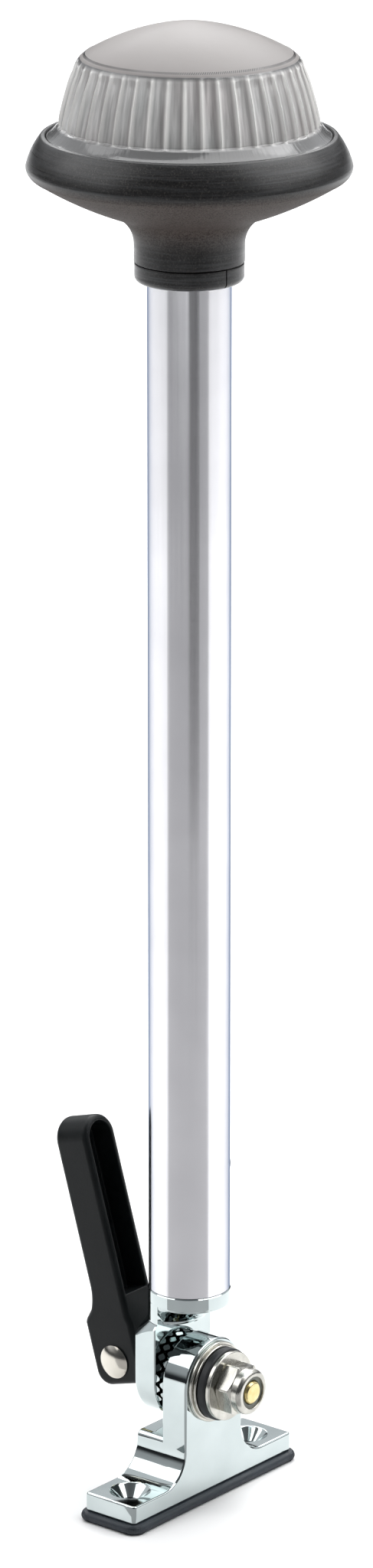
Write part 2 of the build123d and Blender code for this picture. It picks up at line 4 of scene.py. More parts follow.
import bmesh
import bpy
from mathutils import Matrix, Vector

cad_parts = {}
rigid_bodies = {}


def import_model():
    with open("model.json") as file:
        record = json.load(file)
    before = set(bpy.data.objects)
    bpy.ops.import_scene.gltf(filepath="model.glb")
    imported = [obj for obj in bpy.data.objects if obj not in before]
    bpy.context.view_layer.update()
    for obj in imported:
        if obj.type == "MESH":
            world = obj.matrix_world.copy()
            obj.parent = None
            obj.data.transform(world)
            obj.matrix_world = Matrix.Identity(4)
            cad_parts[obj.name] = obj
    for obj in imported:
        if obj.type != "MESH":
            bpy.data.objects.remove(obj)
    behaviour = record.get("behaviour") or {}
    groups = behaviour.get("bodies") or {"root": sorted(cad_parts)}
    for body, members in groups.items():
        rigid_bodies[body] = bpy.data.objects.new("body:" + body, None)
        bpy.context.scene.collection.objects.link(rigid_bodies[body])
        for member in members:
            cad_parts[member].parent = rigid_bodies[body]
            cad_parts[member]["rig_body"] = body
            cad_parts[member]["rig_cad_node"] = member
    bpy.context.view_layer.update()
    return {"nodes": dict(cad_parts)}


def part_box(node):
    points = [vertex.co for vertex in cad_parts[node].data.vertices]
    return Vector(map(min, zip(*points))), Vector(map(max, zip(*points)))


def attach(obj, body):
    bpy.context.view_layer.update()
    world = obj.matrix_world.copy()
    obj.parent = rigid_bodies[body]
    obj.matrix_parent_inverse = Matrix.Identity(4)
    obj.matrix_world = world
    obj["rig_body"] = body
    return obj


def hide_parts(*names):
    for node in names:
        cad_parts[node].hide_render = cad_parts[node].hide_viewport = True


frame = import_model()
mm = 0.001

# places that the pieces share, read from the frame
thrustLow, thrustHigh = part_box("thrust_washer")
boltZ = (thrustLow.z + thrustHigh.z) / 2
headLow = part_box("neck_ring")[0].z
castingLow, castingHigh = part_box("base_casting")
pinLow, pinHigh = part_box("lever_pin")
pinX = (pinLow.x + pinHigh.x) / 2
poleLow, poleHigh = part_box("pole")
poleRadius = poleHigh.x


# ---- small modelling helpers, all on bpy.ops

def deselectAll():
    bpy.ops.object.select_all(action="DESELECT")


def makeActive(piece):
    deselectAll()
    piece.select_set(True)
    bpy.context.view_layer.objects.active = piece


def arcPoints(centre, radius, start, end, count):  # angles in degrees
    angles = [math.radians(start + (end - start) * i / count) for i in range(count + 1)]
    return [(centre[0] + radius * math.cos(a), centre[1] + radius * math.sin(a)) for a in angles]


def arcThrough(first, middle, last, count):  # points of the circle through three points
    (ax, ay), (bx, by), (cx, cy) = first, middle, last
    turn = 2 * (ax * (by - cy) + bx * (cy - ay) + cx * (ay - by))
    squares = [x * x + y * y for x, y in (first, middle, last)]
    ux = (squares[0] * (by - cy) + squares[1] * (cy - ay) + squares[2] * (ay - by)) / turn
    uy = (squares[0] * (cx - bx) + squares[1] * (ax - cx) + squares[2] * (bx - ax)) / turn
    radius = math.hypot(ax - ux, ay - uy)
    start = math.degrees(math.atan2(ay - uy, ax - ux))
    end = math.degrees(math.atan2(cy - uy, cx - ux))
    if turn > 0:
        end += 360 * (end < start)
    else:
        end -= 360 * (end > start)
    return arcPoints((ux, uy), radius, start, end, count)


def placed(points, origin, right, up):  # outline in millimetres, put on a plane of the frame
    return [Vector(origin) + Vector(right) * x * mm + Vector(up) * y * mm for x, y in points]


def drawOutline(name, points):  # leaves edit mode on, with a chain of edges
    deselectAll()
    bpy.ops.mesh.primitive_plane_add(size=mm, location=(0, 0, 0))
    piece = bpy.context.active_object
    piece.name = name
    piece.data.name = name
    startEdit()
    bpy.ops.mesh.merge(type="CENTER")
    bpy.ops.transform.translate(value=points[0])
    for here, there in zip(points, points[1:]):
        bpy.ops.mesh.extrude_vertices_move(TRANSFORM_OT_translate={"value": there - here})
    bpy.ops.mesh.select_all(action="SELECT")
    return piece


def closeMesh():  # merges seams, turns faces outwards, leaves edit mode
    bpy.ops.mesh.select_all(action="SELECT")
    bpy.ops.mesh.remove_doubles(threshold=0.002 * mm)
    bpy.ops.mesh.normals_make_consistent(inside=False)
    bpy.ops.object.mode_set(mode="OBJECT")


def startEdit():  # edit mode with everything selected
    bpy.ops.object.mode_set(mode="EDIT")
    bpy.ops.mesh.select_all(action="SELECT")


def turnBy(degrees, axis, centre=(0, 0, 0)):  # of what is selected in edit mode
    bpy.ops.transform.rotate(value=math.radians(degrees), orient_axis=axis, center_override=centre)


def copyRound(count, centre, axis):  # the selected part, copied evenly round an axis
    bpy.ops.mesh.spin(steps=count - 1, angle=math.radians(360 - 360 / count), center=centre, axis=axis, dupli=True)


def turnFacesOut():  # leaves edit mode
    bpy.ops.mesh.select_all(action="SELECT")
    bpy.ops.mesh.normals_make_consistent(inside=False)
    bpy.ops.object.mode_set(mode="OBJECT")


def lathe(name, points, centre, axis, steps=96, angle=360.0, closed=True):
    piece = drawOutline(name, points + points[:1] if closed else points)
    bpy.ops.mesh.spin(steps=steps, angle=math.radians(angle), center=centre, axis=axis)
    if angle == 360.0:
        closeMesh()
    return piece


def slab(name, points, depth):  # flat outline pushed along depth
    piece = drawOutline(name, points + points[:1])
    bpy.ops.mesh.remove_doubles(threshold=0.002 * mm)
    bpy.ops.mesh.edge_face_add()
    bpy.ops.mesh.extrude_region_move(TRANSFORM_OT_translate={"value": Vector(depth)})
    closeMesh()
    return piece


def modify(piece, kind, **settings):
    makeActive(piece)
    modifier = piece.modifiers.new(kind.lower(), kind)
    for key, value in settings.items():
        setattr(modifier, key, value)
    bpy.ops.object.modifier_apply(modifier=modifier.name)


def roundEdges(piece, width, segments=3, angle=35):
    modify(piece, "BEVEL", width=width * mm, segments=segments, limit_method="ANGLE",
           angle_limit=math.radians(angle), use_clamp_overlap=True)


def combine(piece, tool, how):  # UNION, DIFFERENCE or INTERSECT, then the tool is gone
    modify(piece, "BOOLEAN", object=tool, operation=how, solver="EXACT")
    bpy.data.objects.remove(tool)


def joinAll(piece, others):
    makeActive(piece)
    for other in others:
        other.select_set(True)
    bpy.ops.object.join()


def selectVerts(piece, test):  # in edit mode
    mesh = bmesh.from_edit_mesh(piece.data)
    for vert in mesh.verts:
        vert.select = test(vert.co)
    mesh.select_flush(True)
    bmesh.update_edit_mesh(piece.data)


def selectEdges(piece, test):  # in edit mode, by the two ends of each edge
    mesh = bmesh.from_edit_mesh(piece.data)
    for face in mesh.faces:
        face.select = False
    for edge in mesh.edges:
        edge.select = test(edge.verts[0].co, edge.verts[1].co)
    bmesh.update_edit_mesh(piece.data)


def bevelEdges(piece, width, segments, test):
    makeActive(piece)
    bpy.ops.object.mode_set(mode="EDIT")
    bpy.ops.mesh.select_mode(type="EDGE")
    bpy.ops.mesh.select_all(action="DESELECT")
    selectEdges(piece, test)
    bpy.ops.mesh.bevel(offset=width * mm, segments=segments, affect="EDGES")
    bpy.ops.mesh.select_mode(type="VERT")
    bpy.ops.object.mode_set(mode="OBJECT")


def smoothCopy(node, name):  # a CAD node's mesh, merged, to be shaded smooth
    makeActive(frame["nodes"][node])
    bpy.ops.object.duplicate()
    piece = bpy.context.active_object
    piece.parent = None
    piece.name = name
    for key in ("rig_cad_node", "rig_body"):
        if key in piece:
            del piece[key]
    piece.data.materials.clear()
    startEdit()
    bpy.ops.mesh.remove_doubles(threshold=0.002 * mm)
    bpy.ops.object.mode_set(mode="OBJECT")
    return piece


def finishPiece(piece, body, nodes, material, angle=35):
    makeActive(piece)
    bpy.ops.object.shade_smooth_by_angle(angle=math.radians(angle))
    modify(piece, "WEIGHTED_NORMAL", weight=80, keep_sharp=True)  # keeps the flat faces flat beside round edges
    if not piece.data.materials:
        piece.data.materials.append(material)
    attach(piece, body)
    if nodes:
        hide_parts(*nodes)


# ---- shared surface effects

def newGroup(name, inputs, outputs):
    group = bpy.data.node_groups.new(name, "ShaderNodeTree")
    for label, kind, value in inputs:
        socket = group.interface.new_socket(name=label, in_out="INPUT", socket_type=kind)
        if value is not None:
            socket.default_value = value
    for label, kind in outputs:
        group.interface.new_socket(name=label, in_out="OUTPUT", socket_type=kind)
    inside = group.nodes.new("NodeGroupInput")
    outside = group.nodes.new("NodeGroupOutput")
    return group, inside, outside


def addNode(tree, kind, **settings):
    node = tree.nodes.new(kind)
    for key, value in settings.items():
        setattr(node, key, value)
    return node


def feed(tree, entry, value):  # a link if the value is a socket, else a fixed value
    if isinstance(value, bpy.types.NodeSocket):
        tree.links.new(value, entry)
    elif entry.type == "RGBA":
        entry.default_value = (*value, 1)
    else:
        entry.default_value = value


def mathOf(tree, operation, *values):
    node = addNode(tree, "ShaderNodeMath", operation=operation)
    for entry, value in zip(node.inputs, values):
        feed(tree, entry, value)
    return node.outputs[0]


def rangeOf(tree, value, low, high, lowOut=0.0, highOut=1.0, smooth=False):
    node = addNode(tree, "ShaderNodeMapRange", clamp=True, interpolation_type="SMOOTHSTEP" if smooth else "LINEAR")
    labels = ("Value", "From Min", "From Max", "To Min", "To Max")
    for label, part in zip(labels, (value, low, high, lowOut, highOut)):
        feed(tree, node.inputs[label], part)
    return node.outputs["Result"]


def mixOf(tree, factor, first, second, kind="RGBA"):
    node = addNode(tree, "ShaderNodeMix", data_type=kind)
    for label, part in (("Factor", factor), ("A", first), ("B", second)):
        feed(tree, node.inputs[label], part)
    return node.outputs["Result"]


def noiseOf(tree, vector, scale, detail=2.0, roughness=0.5):
    node = addNode(tree, "ShaderNodeTexNoise")
    for label, part in (("Vector", vector), ("Scale", scale), ("Detail", detail), ("Roughness", roughness)):
        feed(tree, node.inputs[label], part)
    return node.outputs["Fac"]


def bumpOf(tree, height, distance, normal=None):
    node = addNode(tree, "ShaderNodeBump")
    feed(tree, node.inputs["Height"], height)
    feed(tree, node.inputs["Distance"], distance)
    if normal:
        feed(tree, node.inputs["Normal"], normal)
    return node.outputs["Normal"]


def makeMottle():  # two colours and two roughnesses mixed by soft noise, with a fine bump
    group, inside, outside = newGroup(
        "mottle",
        [("Vector", "NodeSocketVector", None), ("Color A", "NodeSocketColor", None),
         ("Color B", "NodeSocketColor", None), ("Rough A", "NodeSocketFloat", 0.3),
         ("Rough B", "NodeSocketFloat", 0.4), ("Scale", "NodeSocketFloat", 200.0),
         ("Grain Scale", "NodeSocketFloat", 2000.0), ("Grain Depth", "NodeSocketFloat", 0.00001)],
        [("Color", "NodeSocketColor"), ("Roughness", "NodeSocketFloat"), ("Normal", "NodeSocketVector")])
    given = inside.outputs
    spread = rangeOf(group, noiseOf(group, given["Vector"], given["Scale"], 4.0), 0.35, 0.65)
    feed(group, outside.inputs["Color"], mixOf(group, spread, given["Color A"], given["Color B"]))
    feed(group, outside.inputs["Roughness"], mixOf(group, spread, given["Rough A"], given["Rough B"], "FLOAT"))
    grain = noiseOf(group, given["Vector"], given["Grain Scale"], 3.0)
    feed(group, outside.inputs["Normal"], bumpOf(group, grain, given["Grain Depth"]))
    return group


def makeStreaks():  # fine parallel tool marks between Low and High, stretched by the vector it is given
    group, inside, outside = newGroup(
        "streaks",
        [("Vector", "NodeSocketVector", None), ("Low", "NodeSocketFloat", 0.0), ("High", "NodeSocketFloat", 1.0)],
        [("Value", "NodeSocketFloat")])
    given = inside.outputs
    lines = noiseOf(group, given["Vector"], 1.0, 5.0, 0.65)
    feed(group, outside.inputs["Value"], rangeOf(group, lines, 0.3, 0.7, given["Low"], given["High"]))
    return group


mottle = makeMottle()
streaks = makeStreaks()


def startMaterial(name):
    material = bpy.data.materials.new(name)
    material.use_nodes = True
    tree = material.node_tree
    shader = tree.nodes["Principled BSDF"]
    place = addNode(tree, "ShaderNodeTexCoord")
    return material, tree, shader, place


def mottled(name, look):  # a plain finish: mottle drives colour, roughness and normal
    material, tree, shader, place = startMaterial(name)
    effect = addNode(tree, "ShaderNodeGroup", node_tree=mottle)
    entries = {"Vector": place.outputs["Object"], "Color A": look["dark"], "Color B": look["light"],
               "Rough A": look["rough"][0], "Rough B": look["rough"][1], "Scale": look.get("scale", 120.0),
               "Grain Scale": look.get("grain", 1800.0), "Grain Depth": look.get("depth", 0.01) * mm}
    for label, value in entries.items():
        feed(tree, effect.inputs[label], value)
    for output, entry in (("Color", "Base Color"), ("Roughness", "Roughness"), ("Normal", "Normal")):
        feed(tree, shader.inputs[entry], effect.outputs[output])
    shader.inputs["Metallic"].default_value = look.get("metal", 0.0)
    for entry, value in look.get("extra", {}).items():
        shader.inputs[entry].default_value = value
    return material, tree, shader, place, effect


def streaked(name, look):  # a mottled finish with tool marks in its roughness and height
    material, tree, shader, place, effect = mottled(name, look)
    stretch = addNode(tree, "ShaderNodeMapping")
    stretch.inputs["Scale"].default_value = look["stretch"]
    feed(tree, stretch.inputs["Vector"], place.outputs["Object"])
    marks = addNode(tree, "ShaderNodeGroup", node_tree=streaks)
    for label, value in (("Vector", stretch.outputs["Vector"]), ("Low", look["rough"][0]), ("High", look["rough"][1])):
        feed(tree, marks.inputs[label], value)
    feed(tree, shader.inputs["Roughness"], marks.outputs["Value"])
    depth = look["markDepth"] * mm
    feed(tree, shader.inputs["Normal"], bumpOf(tree, marks.outputs["Value"], depth, effect.outputs["Normal"]))
    return material, tree, shader, place, effect, marks


chromeLook = {"dark": (0.54, 0.60, 0.60), "light": (0.60, 0.66, 0.66), "rough": (0.03, 0.07), "scale": 60.0,
              "grain": 90.0, "depth": 0.03, "metal": 1.0}
chrome = mottled("chromedZinc", chromeLook)[0]

poleLook = {"dark": (0.77, 0.765, 0.79), "light": (0.84, 0.835, 0.86), "rough": (0.10, 0.24), "scale": 40.0,
            "grain": 900.0, "depth": 0.002, "metal": 1.0, "stretch": (900.0, 900.0, 6.0), "markDepth": 0.02,
            "extra": {"Specular Tint": (0.16, 0.21, 0.30, 1)}}  # the tint darkens the tube where its side turns away
poleFinish = streaked("drawnAluminium", poleLook)[0]

housingLook = {"dark": (0.006, 0.006, 0.006), "light": (0.018, 0.017, 0.017), "rough": (0.22, 0.46),
               "scale": 1500.0, "grain": 1500.0, "depth": 0.02, "stretch": (30.0, 30.0, 1300.0), "markDepth": 0.12,
               "extra": {"Specular IOR Level": 0.10, "Coat Roughness": 0.32}, "line": (0.045, 0.047, 0.050),
               "rimCoat": 0.75, "under": (0.085, 0.068, 0.060), "underDark": (0.026, 0.020, 0.018),
               "underRough": 0.62, "underLow": (9.0, 19.0), "underHigh": (31.8, 35.0),
               "speck": (0.052, 0.048, 0.045), "speckScale": 2100.0, "speckShare": (0.54, 0.70)}


def makeHousingFinish():  # turned satin rim; the flared underside is coarser and browner, with pale specks
    look = housingLook
    material, tree, shader, place, effect, marks = streaked("turnedBlackHousing", look)
    parts = addNode(tree, "ShaderNodeSeparateXYZ")
    feed(tree, parts.inputs["Vector"], place.outputs["Object"])
    (lowStart, lowEnd), (highStart, highEnd) = look["underLow"], look["underHigh"]
    above = rangeOf(tree, parts.outputs["Z"], headLow + lowStart * mm, headLow + lowEnd * mm, smooth=True)
    below = rangeOf(tree, parts.outputs["Z"], headLow + highStart * mm, headLow + highEnd * mm, 1.0, 0.0, True)
    under = mathOf(tree, "MULTIPLY", above, below)
    specks = noiseOf(tree, place.outputs["Object"], look["speckScale"])
    lines = rangeOf(tree, marks.outputs["Value"], look["rough"][0] + 0.10, look["rough"][1])
    turned = mixOf(tree, lines, effect.outputs["Color"], look["line"])
    coarse = mixOf(tree, rangeOf(tree, specks, 0.36, 0.64), look["underDark"], look["under"])
    zone = mixOf(tree, under, turned, coarse)
    dotted = mixOf(tree, rangeOf(tree, specks, *look["speckShare"]), zone, look["speck"])
    feed(tree, shader.inputs["Base Color"], dotted)
    rough = mixOf(tree, under, marks.outputs["Value"], look["underRough"], "FLOAT")
    feed(tree, shader.inputs["Roughness"], rough)
    feed(tree, shader.inputs["Coat Weight"], rangeOf(tree, under, 0.0, 1.0, look["rimCoat"], 0.0))
    return material


housingFinish = makeHousingFinish()

steelLook = {"dark": (0.50, 0.49, 0.45), "light": (0.66, 0.65, 0.60), "rough": (0.16, 0.30), "scale": 220.0,
             "grain": 1200.0, "depth": 0.01, "metal": 1.0, "stretch": (2600.0, 160.0, 160.0), "markDepth": 0.02}
steelFinish = streaked("turnedStainless", steelLook)[0]

pinLook = {"dark": (0.60, 0.57, 0.51), "light": (0.70, 0.67, 0.60), "rough": (0.14, 0.22), "scale": 160.0,
           "grain": 700.0, "depth": 0.012, "metal": 1.0}
pinFinish = mottled("pinSteel", pinLook)[0]

brassLook = {"dark": (0.74, 0.60, 0.28), "light": (0.90, 0.78, 0.45), "rough": (0.18, 0.30), "scale": 300.0,
             "grain": 1500.0, "depth": 0.01, "metal": 1.0}
brassFinish = mottled("brass", brassLook)[0]

rubberLook = {"dark": (0.018, 0.025, 0.034), "light": (0.030, 0.039, 0.050), "rough": (0.42, 0.58), "scale": 150.0,
              "grain": 2500.0, "depth": 0.02}
rubberFinish = mottled("slateRubber", rubberLook)[0]

blackRubberLook = {"dark": (0.010, 0.012, 0.014), "light": (0.018, 0.020, 0.023), "rough": (0.45, 0.6),
                   "scale": 200.0, "grain": 2500.0, "depth": 0.02}
blackRubber = mottled("blackRubber", blackRubberLook)[0]

leverLook = {"dark": (0.0040, 0.0055, 0.0062), "light": (0.0065, 0.0082, 0.0090), "rough": (0.36, 0.48),
             "scale": 120.0, "grain": 1600.0, "depth": 0.03, "extra": {"Specular IOR Level": 0.2}}
leverFinish = mottled("leverPlastic", leverLook)[0]

nylonLook = {"dark": (0.13, 0.14, 0.12), "light": (0.22, 0.23, 0.20), "rough": (0.35, 0.5), "scale": 300.0,
             "grain": 1500.0, "depth": 0.01}
nylonFinish = mottled("nylon", nylonLook)[0]

whiteLook = {"dark": (0.62, 0.62, 0.60), "light": (0.70, 0.70, 0.68), "rough": (0.3, 0.4), "scale": 60.0,
             "grain": 900.0, "depth": 0.01}
whiteFinish = mottled("whitePlastic", whiteLook)[0]

nickelLook = {"dark": (0.55, 0.53, 0.48), "light": (0.68, 0.66, 0.60), "rough": (0.12, 0.25), "scale": 200.0,
              "grain": 900.0, "depth": 0.01, "metal": 1.0}
nickelFinish = mottled("nickelPlate", nickelLook)[0]

phenolicLook = {"dark": (0.05, 0.02, 0.01), "light": (0.09, 0.04, 0.02), "rough": (0.5, 0.65), "scale": 500.0,
                "grain": 1500.0, "depth": 0.02}
phenolicFinish = mottled("phenolicBoard", phenolicLook)[0]

redLook = {"dark": (0.32, 0.012, 0.010), "light": (0.45, 0.02, 0.016), "rough": (0.4, 0.5), "scale": 200.0}
redFinish = mottled("redInsulation", redLook)[0]
blackLook = {"dark": (0.012, 0.012, 0.012), "light": (0.02, 0.02, 0.02), "rough": (0.4, 0.5), "scale": 200.0}
blackFinish = mottled("blackInsulation", blackLook)[0]


def makeFluting():  # masks of the painted crest highlight, the painted shade across each flute and the ribbed wall, and soft upright streaks, from the angle round Z
    group, inside, outside = newGroup(
        "fluting",
        [("Vector", "NodeSocketVector", None), ("Count", "NodeSocketFloat", 44.0), ("Crest", "NodeSocketFloat", 0.1),
         ("Low", "NodeSocketFloat", 0.4), ("High", "NodeSocketFloat", 0.5)],
        [("Painted Crest Highlight", "NodeSocketFloat"), ("Flute Shade", "NodeSocketFloat"), ("Streaks", "NodeSocketFloat"),
         ("Wall Mask", "NodeSocketFloat")])
    given = inside.outputs
    parts = addNode(group, "ShaderNodeSeparateXYZ")
    feed(group, parts.inputs["Vector"], given["Vector"])
    angle = mathOf(group, "ARCTAN2", parts.outputs["Y"], parts.outputs["X"])
    turns = mathOf(group, "DIVIDE", angle, 2 * math.pi)
    ribs = mathOf(group, "ADD", mathOf(group, "MULTIPLY", turns, given["Count"]), 1000.0)  # kept above zero
    offCrest = mathOf(group, "ABSOLUTE", mathOf(group, "SUBTRACT", mathOf(group, "FRACT", ribs), 0.5))
    pastCrest = mathOf(group, "FRACT", mathOf(group, "ADD", ribs, 0.5))
    feed(group, outside.inputs["Painted Crest Highlight"], rangeOf(group, offCrest, 0.0, given["Crest"], 1.0, 0.0, True))
    feed(group, outside.inputs["Flute Shade"], rangeOf(group, pastCrest, 0.35, 0.85, smooth=True))
    stretch = addNode(group, "ShaderNodeCombineXYZ")
    feed(group, stretch.inputs["X"], mathOf(group, "MULTIPLY", ribs, 4.0))
    feed(group, stretch.inputs["Y"], mathOf(group, "MULTIPLY", parts.outputs["Z"], 60.0))
    lines = noiseOf(group, stretch.outputs["Vector"], 1.0, 4.0)
    feed(group, outside.inputs["Streaks"], rangeOf(group, lines, 0.3, 0.7))
    fade = 1.5 * mm
    height, low, high = parts.outputs["Z"], given["Low"], given["High"]
    above = rangeOf(group, height, low, mathOf(group, "ADD", low, fade), smooth=True)
    below = rangeOf(group, height, high, mathOf(group, "ADD", high, fade), 1.0, 0.0, True)
    feed(group, outside.inputs["Wall Mask"], mathOf(group, "MULTIPLY", above, below))
    return group


# the crest colour is a painted highlight along each rib's crest, and the shade colour is painted shade across each
# flute
lensLook = {"dark": (0.26, 0.25, 0.245), "light": (0.92, 0.90, 0.89), "crest": (1.0, 0.985, 0.96),
            "collar": (0.17, 0.17, 0.17), "tintA": (0.80, 0.68, 0.68), "tintB": (0.60, 0.70, 0.69), "tintShare": 0.35,
            "shade": (0.24, 0.225, 0.22), "shadeShare": 0.6, "rough": (0.05, 0.16), "streakDepth": 0.06, "ribs": 44,
            "crestWidth": 0.24, "wallLow": 46.6, "wallHigh": 66.0,
            "plain": {"Transmission Weight": 0.12, "IOR": 1.49, "Coat Weight": 0.5, "Coat Roughness": 0.05}}


def makeLensFinish():
    look = lensLook
    material, tree, shader, place = startMaterial("ribbedClearPlastic")
    ribs = addNode(tree, "ShaderNodeGroup", node_tree=makeFluting())
    entries = {"Vector": place.outputs["Object"], "Count": look["ribs"], "Crest": look["crestWidth"],
               "Low": headLow + look["wallLow"] * mm, "High": headLow + look["wallHigh"] * mm}
    for label, value in entries.items():
        feed(tree, ribs.inputs[label], value)
    given = ribs.outputs
    flute = mixOf(tree, given["Streaks"], look["dark"], look["light"])
    tint = mixOf(tree, noiseOf(tree, place.outputs["Object"], 55.0), look["tintA"], look["tintB"])
    tinted = mixOf(tree, look["tintShare"], flute, tint)
    # painted shade across each flute, darkest just before the next crest
    shaded = mixOf(tree, mathOf(tree, "MULTIPLY", given["Flute Shade"], look["shadeShare"]), tinted, look["shade"])
    # painted highlight: a near-white line along each rib's crest
    crestHighlighted = mixOf(tree, given["Painted Crest Highlight"], shaded, look["crest"])
    feed(tree, shader.inputs["Base Color"], mixOf(tree, given["Wall Mask"], look["collar"], crestHighlighted))
    feed(tree, shader.inputs["Roughness"], rangeOf(tree, given["Streaks"], 0.0, 1.0, *look["rough"]))
    feed(tree, shader.inputs["Normal"], bumpOf(tree, given["Streaks"], look["streakDepth"] * mm))
    for label, value in look["plain"].items():
        shader.inputs[label].default_value = value
    return material


lensFinish = makeLensFinish()

crownLook = {"dark": (0.232, 0.216, 0.210), "light": (0.266, 0.249, 0.242), "rough": (0.38, 0.5), "scale": 50.0,
             "grain": 2600.0, "depth": 0.02, "extra": {"Specular IOR Level": 0.3}}
crownFinish = mottled("frostedCrown", crownLook)[0]

# painted shade: the knurl ridges are coloured dark grey so that they show as dark ticks on the pale lens
knurlShadeLook = {"dark": (0.07, 0.07, 0.072), "light": (0.13, 0.13, 0.134), "rough": (0.12, 0.2), "scale": 200.0}
knurlPaintedShade = mottled("knurlShade", knurlShadeLook)[0]

bulbLook = {"dark": (0.94, 0.95, 0.95), "light": (0.98, 0.98, 0.98), "rough": (0.02, 0.05), "scale": 60.0,
            "extra": {"Transmission Weight": 1.0, "IOR": 1.46}}
bulbFinish = mottled("bulbGlass", bulbLook)[0]
print("materials ready")


# ---- pole and neck ring

headPlane = {"origin": (0, 0, headLow), "right": (1, 0, 0), "up": (0, 0, 1)}
deckPlane = {"origin": (0, 0, 0), "right": (1, 0, 0), "up": (0, 0, 1)}
upAxis = {"centre": (0, 0, 0), "axis": (0, 0, 1)}

tube = {"wall": 1.25, "edge": 0.25, "steps": 128}


def makePole():
    outer = poleRadius / mm
    inner = outer - tube["wall"]
    low, high = poleLow.z / mm, poleHigh.z / mm
    edge = tube["edge"]
    outline = [(inner, low + edge), (inner + edge, low), (outer - edge, low), (outer, low + edge),
               (outer, high - edge), (outer - edge, high), (inner + edge, high), (inner, high - edge)]
    piece = lathe("poleTube", placed(outline, **deckPlane), steps=tube["steps"], **upAxis)
    finishPiece(piece, "mast", ["pole"], poleFinish)


ring = {"radius": 16.5, "bore": 12.75, "height": 5.85, "corner": 1.9, "lip": 0.35, "split": 0.45, "splitAngle": -9.0}


def makeNeckRing():
    corner, lip = ring["corner"], ring["lip"]
    outline = [(ring["bore"], 0.3), (ring["bore"] + 0.3, 0)]
    outline += arcPoints((ring["radius"] - corner, corner), corner, -90, 0, 8)
    outline += arcPoints((ring["radius"] - lip, ring["height"] - lip), lip, 0, 90, 4)
    outline += [(ring["bore"], ring["height"])]
    piece = lathe("neckClampRing", placed(outline, **headPlane), steps=128, **upAxis)
    half = ring["split"] / 2
    cut = [(12.0, -1), (18.0, -1), (18.0, 7), (12.0, 7)]
    blade = slab("ringSplit", placed(cut, (0, -half * mm, headLow), (1, 0, 0), (0, 0, 1)), (0, 2 * half * mm, 0))
    makeActive(blade)
    startEdit()
    turnBy(-ring["splitAngle"], "Z")
    bpy.ops.object.mode_set(mode="OBJECT")
    combine(piece, blade, "DIFFERENCE")
    finishPiece(piece, "mast", ["neck_ring"], housingFinish)


makePole()
makeNeckRing()
print("pole and neck ring modelled")


# ---- turned black housing of the head

housing = {"neckRadius": 16.65, "neckLow": 6.05, "flareRadius": 9.5, "flareCorner": 18.0, "flareEnd": (24.0, 20.8),
           "under": (36.7, 26.2), "rimLow": (46.2, 31.5), "rimTurn": (48.2, 33.2), "rim": (48.8, 35.0),
           "shoulder": (47.2, 39.6), "lip": [(44.6, 43.8), (44.3, 44.2), (43.9, 44.4), (43.1, 44.4), (42.8, 44.1)],
           "seat": [(42.8, 41.0), (39.4, 41.0), (39.4, 31.0), (34.0, 31.0), (33.0, 28.0), (20.0, 23.6), (15.4, 23.6)],
           "socket": [(15.4, 29.0), (10.0, 29.0), (10.0, 26.0), (12.75, 26.0), (12.75, 6.35), (13.05, 6.05)],
           "steps": 160, "screwHeight": 10.5, "screwHole": 2.7}


def makeHousing():
    neck, low, flare = housing["neckRadius"], housing["neckLow"], housing["flareRadius"]
    slope = math.atan2(housing["flareEnd"][1] - housing["flareCorner"], housing["flareEnd"][0] - neck)
    reach = flare * math.tan((math.pi / 2 - slope) / 2)
    outline = [(neck - 0.3, low), (neck, low + 0.3)]
    outline += arcPoints((neck + flare, housing["flareCorner"] - reach), flare, 180, 90 + math.degrees(slope), 12)
    outline += arcThrough(housing["flareEnd"], housing["under"], housing["rimLow"], 12)
    outline += arcThrough(housing["rimLow"], housing["rimTurn"], housing["rim"], 8)[1:]
    outline += arcThrough(housing["rim"], housing["shoulder"], housing["lip"][0], 12)[1:]
    outline += housing["lip"][1:] + housing["seat"] + housing["socket"]
    piece = lathe("headShell", placed(outline, **headPlane), steps=housing["steps"], **upAxis)
    deselectAll()
    bpy.ops.mesh.primitive_cylinder_add(vertices=32, radius=housing["screwHole"] * mm, depth=4 * mm,
                                        rotation=(math.pi / 2, 0, 0),
                                        location=(0, (neck + 0.4) * mm, headLow + housing["screwHeight"] * mm))
    combine(piece, bpy.context.active_object, "DIFFERENCE")
    finishPiece(piece, "mast", ["head_housing"], housingFinish)


makeHousing()
print("housing modelled")


# ---- ribbed lens with its frosted crown

lens = {"ribs": 44, "stepsPerRib": 12, "fluteDepth": 0.75, "crest": 0.3,
        "spigot": [(36.9, 35.4), (38.9, 35.4), (38.9, 42.05)],
        "skirt": [(42.4, 42.05), (42.6, 42.25), (42.6, 43.8), (42.45, 44.1), (42.2, 44.25), (40.9, 45.3),
                  (39.7, 46.7), (39.2, 47.2)],
        "wall": [(38.1, 47.6), (36.5, 54.8), (33.4, 65.2)], "shoulder": [(33.4, 65.9), (32.9, 67.0), (31.5, 68.3)],
        "crown": [(30.9, 68.75), (18.0, 74.6), (0.0, 78.3)], "crownInside": [(4.0, 76.1), (16.0, 73.0), (29.8, 66.6)],
        "wallInside": [(31.0, 65.4), (34.7, 54.5), (36.5, 44.6)], "skin": (37.6, 44.7, 0.24),
        "fade": [(47.4, 48.5, 0.75), (48.5, 61.5, 1.0), (61.5, 63.6, 0.9), (63.6, 65.5, 0.7), (65.5, 66.3, 0.45),
                 (66.3, 67.2, 0.2)]}


